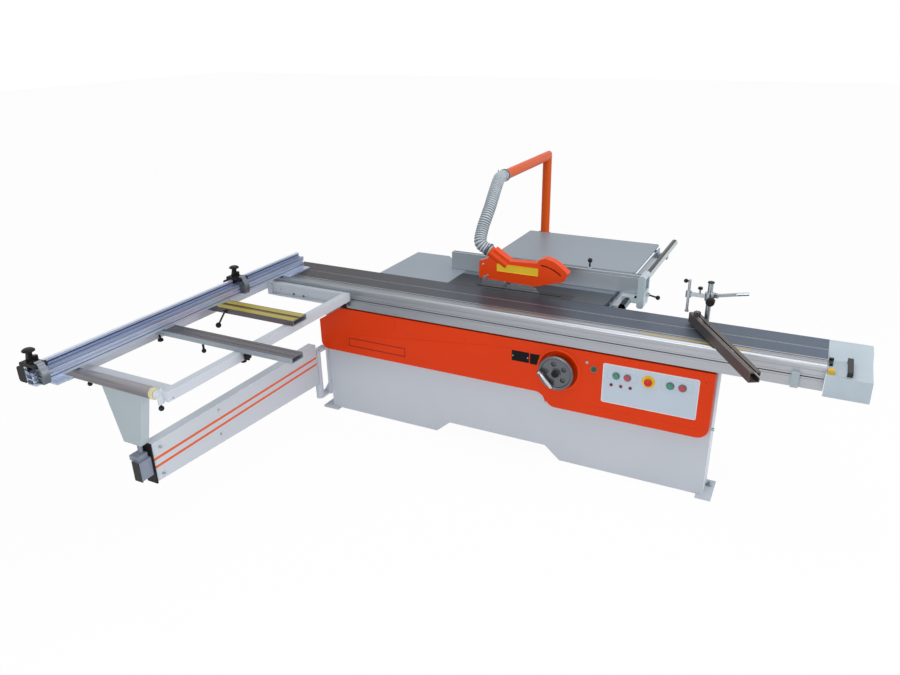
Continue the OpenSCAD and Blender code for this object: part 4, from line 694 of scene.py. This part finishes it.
# %% Hose finish and mesh
def hose_finish():
    skin = Finish("ribbed hose plastic", rough=0.5)
    fold = skin.node("ShaderNodeAttribute", {"attribute_name": "fold"}, out="Fac")
    cloud = skin.noise(14.0)
    crest = skin.mix(cloud, colour(170, 180, 188), colour(214, 222, 228))
    # Painted shade: the folds are painted dark.
    base = skin.mix(fold, crest, colour(70, 80, 89))
    return skin.finish(base, rough=0.44 + cloud * 0.16, relief=skin.noise(160.0, 2.0),
                       depth=0.0006, strength=0.4)


hose_plastic = hose_finish()


def make_hose(ribs=52, per_rib=8, sides=32, bore=3.4):
    rings = ribs * per_rib
    line, _ = even_way(rings)
    points, faces, folds = [], [], []
    side = Vector((1, 0, 0))
    for inner in (False, True):
        order = range(rings + 1) if not inner else range(rings, -1, -1)
        for i in order:
            ahead = (line[min(i + 1, rings)] - line[max(i - 1, 0)]).normalized()
            u = side.cross(ahead).normalized()
            v = ahead.cross(u)
            swell = 0.5 - 0.5 * math.cos(2 * math.pi * i / per_rib)
            radius = HOSE_R - 5.0 + FOLD_DEPTH * swell ** 0.7 - (bore if inner else 0)
            for k in range(sides):
                turn = 2 * math.pi * k / sides
                folds.append((1 - swell) ** 1.5)
                points.append(at(*(line[i] + radius * (math.cos(turn) * u + math.sin(turn) * v))))
    count = 2 * (rings + 1)
    for i in range(count):
        j = (i + 1) % count
        for k in range(sides):
            m = (k + 1) % sides
            faces.append((i * sides + k, i * sides + m, j * sides + m, j * sides + k))
    mesh = bpy.data.meshes.new("dust_hose_ribbed")
    mesh.from_pydata(points, [], faces)
    mesh.attributes.new("fold", "FLOAT", "POINT").data.foreach_set("value", folds)
    hose = bpy.data.objects.new("dust_hose_ribbed", mesh)
    bpy.context.scene.collection.objects.link(hose)
    pick(hose)
    bpy.ops.object.mode_set(mode="EDIT")
    bpy.ops.mesh.select_all(action="SELECT")
    bpy.ops.mesh.normals_make_consistent(inside=False)
    bpy.ops.object.mode_set(mode="OBJECT")
    bpy.ops.object.shade_smooth()
    mesh.materials.append(hose_plastic)
    return hose


hose = make_hose()
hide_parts("dust_hose")
hose_length * MM
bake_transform(hose)
print("hose faces:", len(hose.data.polygons))

# %% [markdown]
# ## Hood label
# The hood carries a yellow label. It is left bare here: a thin plate with rounded corners.

# %% Bare yellow label
def plate(name, x, z, y, thick, corner, body, material):
    """A thin upright plate that faces the front, with rounded corners."""
    deselect()
    middle = at((x[0] + x[1]) / 2, y - thick / 2, (z[0] + z[1]) / 2)
    bpy.ops.mesh.primitive_cube_add(size=1, location=middle)
    piece = bpy.context.active_object
    piece.name = name
    piece.scale = ((x[1] - x[0]) * MM, thick * MM, (z[1] - z[0]) * MM)
    bpy.ops.object.transform_apply(location=True, rotation=True, scale=True)
    bpy.ops.object.mode_set(mode="EDIT")
    bpy.ops.mesh.select_all(action="DESELECT")
    bpy.ops.object.mode_set(mode="OBJECT")
    for edge in piece.data.edges:
        a, b = (piece.data.vertices[v].co for v in edge.vertices)
        edge.select = abs(a.y - b.y) > 0.5 * thick * MM
    bpy.ops.object.mode_set(mode="EDIT")
    bpy.ops.mesh.select_mode(type="EDGE")
    bpy.ops.mesh.bevel(offset=corner * MM, segments=4)
    bpy.ops.object.mode_set(mode="OBJECT")
    return settle(piece, body, material)


label = plate("hood_label", (-149, 108), (994, 1040), 314, 0.6, 4, "hood", label_yellow)
print("label faces:", len(label.data.polygons))

# %% [markdown]
# ## Screws, knobs and clamps
# Small hardware is turned: screw heads with a socket, ball knobs and black star knobs. One helper turns
# them all. A disc is extruded and widened or narrowed at each step of a profile, as a lathe would leave
# it, and a bevel breaks its edges. The same screw is copied to every place, each copy with its own mesh.

# %% A turned piece
def turned(name, profile, sides=24, edge=0.4):
    """A piece along z; the profile lists radius and height, both in millimetres."""
    deselect()
    radius, height = profile[0]
    bpy.ops.mesh.primitive_circle_add(vertices=sides, radius=radius * MM, fill_type="NGON",
                                      location=(0, 0, height * MM))
    piece = bpy.context.active_object
    piece.name = name
    bpy.ops.object.transform_apply(location=True, rotation=True, scale=True)
    bpy.ops.object.mode_set(mode="EDIT")
    bpy.ops.mesh.select_all(action="SELECT")
    for (r0, z0), (r1, z1) in zip(profile, profile[1:]):
        bpy.ops.mesh.extrude_region_move(TRANSFORM_OT_translate={"value": (0, 0, (z1 - z0) * MM)})
        bpy.ops.transform.resize(value=(r1 / r0, r1 / r0, 1), center_override=(0, 0, z1 * MM))
    bpy.ops.mesh.select_all(action="SELECT")
    bpy.ops.mesh.normals_make_consistent(inside=False)
    bpy.ops.object.mode_set(mode="OBJECT")
    bevel = piece.modifiers.new("broken edges", "BEVEL")
    bevel.width = edge * MM
    bevel.segments = 2
    bevel.limit_method = "ANGLE"
    bevel.angle_limit = math.radians(40)
    bpy.ops.object.modifier_apply(modifier=bevel.name)
    return piece


def put(pattern, name, place, axis, body, material):
    """A copy of a turned piece, standing at a place along an axis."""
    piece = pattern.copy()
    piece.data = pattern.data.copy()
    piece.name = name
    bpy.context.scene.collection.objects.link(piece)
    piece.rotation_euler = Vector(axis).to_track_quat("Z", "Y").to_euler()
    piece.location = at(*place)
    return settle(piece, body, material)


SOCKET_SCREW = [(6.5, -8), (6.5, 3.4), (5.6, 4.6), (3.2, 4.6), (3.0, 1.6)]
screw = turned("socket_screw", SOCKET_SCREW)
print("screw faces:", len(screw.data.polygons))

# %% [markdown]
# ## Screws in their places
# Each row says where a head sits, which way it looks and which body carries it. The places lie on the
# faces of the solids, so that no head floats when its body moves.

# %% Place the screws
bolts = [
    ("hood_screw_rear", screw, (-239, 314, 1025), (0, -1, 0), "hood", "steel", zinc),
    ("hood_screw_front", screw, (-209, 314, 958), (0, -1, 0), "hood", "steel", zinc),
    ("arm_bolt_top", screw, (-1188, -1401, 463), (1, 0, 0), "arm", "steel", zinc),
    ("arm_bolt_low", screw, (-1188, -1408, 317), (1, 0, 0), "arm", "steel", zinc),
    ("guide_bolt_top", screw, (-1194.5, -992, 465), (1, 0, 0), "arm", "steel", zinc),
    ("guide_bolt_low", screw, (-1194.5, -1000, 322), (1, 0, 0), "arm", "steel", zinc),
    ("frame_bolt_left", screw, (-1389, -45, 783), (0, -1, 0), "carriage", "steel", dark_iron),
    ("frame_bolt_right", screw, (-1313, -45, 780), (0, -1, 0), "carriage", "steel", dark_iron),
    ("head_set_screw", screw, (633, 505, 883), (0, -1, 0), "rip_head", "black_plastic", black_plastic),
]
for name, pattern, place, axis, body, slot, material in bolts:
    put(pattern, name, place, axis, body, material)
print("screws:", len(bolts))

# %% [markdown]
# ## Knobs, grips and the wheel's hub
# Star knobs are turned first and then waved round their rim, which is quicker than modelling five lobes.
# The hold-down's grip, the lid of its column and the handwheel's hub are plain turned pieces.

# %% Star and ball knobs under the frame
STAR = [(5, -52), (5, 0), (13, 1), (14, 6), (14, 12), (12, 16), (5, 17), (4.6, 16)]
BALL = [(4, -6), (4, 8), (8, 10), (11, 14), (12, 19), (11, 24), (8, 28), (4, 30), (1, 31)]
star = turned("star_pattern", STAR, sides=40, edge=0.8)
ball = turned("ball_pattern", BALL, sides=28)
collar = turned("collar_pattern", [(11, -2), (11, 13), (9, 15), (5, 15)], edge=0.8)
for corner in star.data.vertices:
    if corner.co.z > 0.0005 and corner.co.xy.length > 0.010:
        wave = 1 + 0.14 * math.cos(5 * math.atan2(corner.co.y, corner.co.x))
        corner.co.x, corner.co.y = corner.co.x * wave, corner.co.y * wave
knobs = [
    (star, "frame_knob_left", (-1574, -963, 800), "black_plastic", black_plastic),
    (star, "frame_knob_right", (-978, -982, 800), "black_plastic", black_plastic),
    (ball, "frame_ball_left", (-1489, -1484, 800), "black_plastic", black_plastic),
    (collar, "frame_collar", (-990, -62, 800), "yellow_plastic", yellow_plastic),
    (ball, "frame_ball_right", (-990, -62, 785), "black_plastic", black_plastic),
]
for pattern, name, place, slot, material in knobs:
    put(pattern, name, place, (0, 0, -1), "carriage", material)
print("knobs under the frame:", len(knobs))

# %% Grip and cap of the hold-down
GRIP = [(9, -4), (17, 0), (22, 6), (22, 28), (19, 33), (8, 34), (7, 33)]
grip = turned("grip_pattern", GRIP, sides=36, edge=0.8)
put(grip, "clamp_grip", (1082, 176, 1038), (0, -1, 0), "clamp_arm", black_plastic)
lid = turned("lid_pattern", [(17, -3), (17, 1), (15, 3), (6, 3.4)], sides=32)
put(lid, "column_lid", (1066, 236, 1116), (0, 0, 1), "carriage", black_plastic)
print("grip faces:", len(grip.data.polygons), "lid faces:", len(lid.data.polygons))

# %% Handwheel hub and backing
WHEEL_X, WHEEL_Z = 369, 600
hub = turned("hub_pattern", [(20, -5), (20, 4), (18, 8), (9, 9), (8, 7.5)], sides=36, edge=0.8)
put(hub, "handwheel_hub", (WHEEL_X, -93, WHEEL_Z), (0, -1, 0), "handwheel", black_plastic)
# The backing closes the wheel's holes into pockets; its dark iron stands in for the shade inside them, where
# the orange cover would show.
backing = turned("backing_pattern", [(82, -1.5), (83, 0), (82, 1), (30, 1.2)], sides=48, edge=0.3)
put(backing, "handwheel_backing", (WHEEL_X, -70.5, WHEEL_Z), (0, -1, 0), "handwheel", dark_iron)
patterns = (screw, star, ball, collar, grip, lid, hub, backing)
for pattern in patterns:
    bpy.data.objects.remove(pattern)
print("patterns used and removed:", len(patterns))

# %% [markdown]
# ## Hose clamps
# A band clamp holds the hose at each end. An open tube gets a wall, and two small blocks stand for the
# screw housing and the band's loose tail.

# %% Band clamps
def hose_clamp(name, middle, ahead, body):
    """A steel band round the hose with its screw housing and the loose tail of the band."""
    deselect()
    bpy.ops.mesh.primitive_cylinder_add(vertices=40, radius=(HOSE_R + 0.6) * MM, depth=12 * MM,
                                        end_fill_type="NOTHING", location=(0, 0, 0))
    piece = bpy.context.active_object
    piece.name = name
    wall = piece.modifiers.new("wall", "SOLIDIFY")
    wall.thickness = 1.4 * MM
    wall.offset = 1
    bpy.ops.object.modifier_apply(modifier=wall.name)
    bpy.ops.object.mode_set(mode="EDIT")
    for place, size in (((HOSE_R + 4, 0, 0), (8, 18, 14)), ((HOSE_R + 5, 20, 0), (1.6, 26, 9))):
        bpy.ops.mesh.select_all(action="DESELECT")
        bpy.ops.mesh.primitive_cube_add(size=MM, location=[v * MM for v in place])
        bpy.ops.transform.resize(value=size, center_override=[v * MM for v in place])
    bpy.ops.object.mode_set(mode="OBJECT")
    bevel = piece.modifiers.new("broken edges", "BEVEL")
    bevel.width = 0.4 * MM
    bevel.segments = 2
    bpy.ops.object.modifier_apply(modifier=bevel.name)
    piece.rotation_euler = Vector(ahead).to_track_quat("Z", "Y").to_euler()
    piece.location = at(*middle)
    return settle(piece, body, dark_iron)


low, high = Vector(WAY[0]), Vector(WAY[1])
hose_clamp("hose_clamp_low", low + (high - low).normalized() * 16, high - low, "hood")
hose_clamp("hose_clamp_high", (-350, 886, 1440), (0, 1, 0), "base")
print("hose clamps: 2")

# %% [markdown]
# ## Ring round the handwheel
# The cover is pressed out to a soft ring round the wheel's hollow, which catches the light. A torus is
# flattened onto the cover and its back half is cut away.

# %% Pressed ring
deselect()
RING_R, RING_THICK = 116.5, 4.5
CUT_ABOVE = (0, 0, 1.2 * MM)
bpy.ops.mesh.primitive_torus_add(major_radius=RING_R * MM, minor_radius=RING_THICK * MM,
                                 major_segments=96, minor_segments=14)
ring = bpy.context.active_object
ring.name = "cover_ring"
bpy.ops.object.mode_set(mode="EDIT")
bpy.ops.mesh.select_all(action="SELECT")
bpy.ops.mesh.bisect(plane_co=CUT_ABOVE, plane_no=(0, 0, 1), clear_inner=True, use_fill=True)
bpy.ops.mesh.select_all(action="SELECT")
bpy.ops.transform.resize(value=(1, 1, 0.8), center_override=CUT_ABOVE)
bpy.ops.mesh.normals_make_consistent(inside=False)
bpy.ops.object.mode_set(mode="OBJECT")
ring.rotation_euler = (math.radians(90), 0, 0)
ring.location = at(WHEEL_X, -38.6, WHEEL_Z)
settle(ring, "base", orange_coat)
print("ring faces:", len(ring.data.polygons))

# %% [markdown]
# ## Light and floor
# A plain studio: one broad lamp above, a weaker one in front and a pale room. The floor is white where
# the camera sees it and still keeps the saw's soft shadow.

# %% Studio
def lamp(name, place, towards, size, power):
    light = bpy.data.lights.new(name, "AREA")
    light.size = size
    light.energy = power
    stand = bpy.data.objects.new(name, light)
    bpy.context.scene.collection.objects.link(stand)
    stand.location = place
    stand.rotation_euler = (Vector(towards) - Vector(place)).to_track_quat("-Z", "Y").to_euler()


lamp("overhead", (0.3, -0.2, 4.6), (0, 0.3, 0.8), 4.5, 95)
lamp("front", (0.1, -3.9, 1.7), (0.1, 0, 0.6), 1.4, 42)
lamp("right", (5.4, 0.3, 2.2), (-1.2, -0.4, 0.4), 2.2, 110)
print("lamps:", len(bpy.data.lights))


def white_where_seen(tree, plain, strength):
    """Mixes a shader with plain white light for what the camera and mirrors see."""
    path = tree.nodes.new("ShaderNodeLightPath")
    camera_ray, mirrored, through = (Wire(tree, path.outputs[k]) for k in
                                     ("Is Camera Ray", "Is Glossy Ray", "Is Transmission Ray"))
    seen = camera_ray.sum("MAXIMUM", camera_ray, mirrored.sum("MAXIMUM", mirrored, through))
    in_world = plain.bl_idname == "ShaderNodeBackground"
    glow = tree.nodes.new("ShaderNodeBackground" if in_world else "ShaderNodeEmission")
    glow.inputs["Color"].default_value = (1, 1, 1, 1)
    glow.inputs["Strength"].default_value = 1.0
    mixed = tree.nodes.new("ShaderNodeMixShader")
    feed(tree, mixed.inputs[0], seen * strength)
    tree.links.new(plain.outputs[0], mixed.inputs[1])
    tree.links.new(glow.outputs[0], mixed.inputs[2])
    return mixed.outputs[0]


world = bpy.data.worlds.new("pale room")
bpy.context.scene.world = world
world.use_nodes = True
sky = world.node_tree.nodes["Background"]
sky.inputs["Color"].default_value = (0.93, 0.95, 1.0, 1)
sky.inputs["Strength"].default_value = 0.34
world.node_tree.links.new(white_where_seen(world.node_tree, sky, 1.0),
                          world.node_tree.nodes["World Output"].inputs["Surface"])

deselect()
bpy.ops.mesh.primitive_plane_add(size=60, location=(0, 0, -0.0005))
floor = bpy.context.active_object
floor.name = "floor"
floor_finish = Finish("white floor", rough=0.9)
floor_finish.finish((0.9, 0.9, 0.9))
floor_tree = floor_finish.tree
floor_tree.links.new(white_where_seen(floor_tree, floor_finish.shader, 0.965),
                     floor_tree.nodes["Material Output"].inputs["Surface"])
floor.data.materials.append(floor_finish.material)
bpy.context.scene.view_settings.view_transform = "Standard"
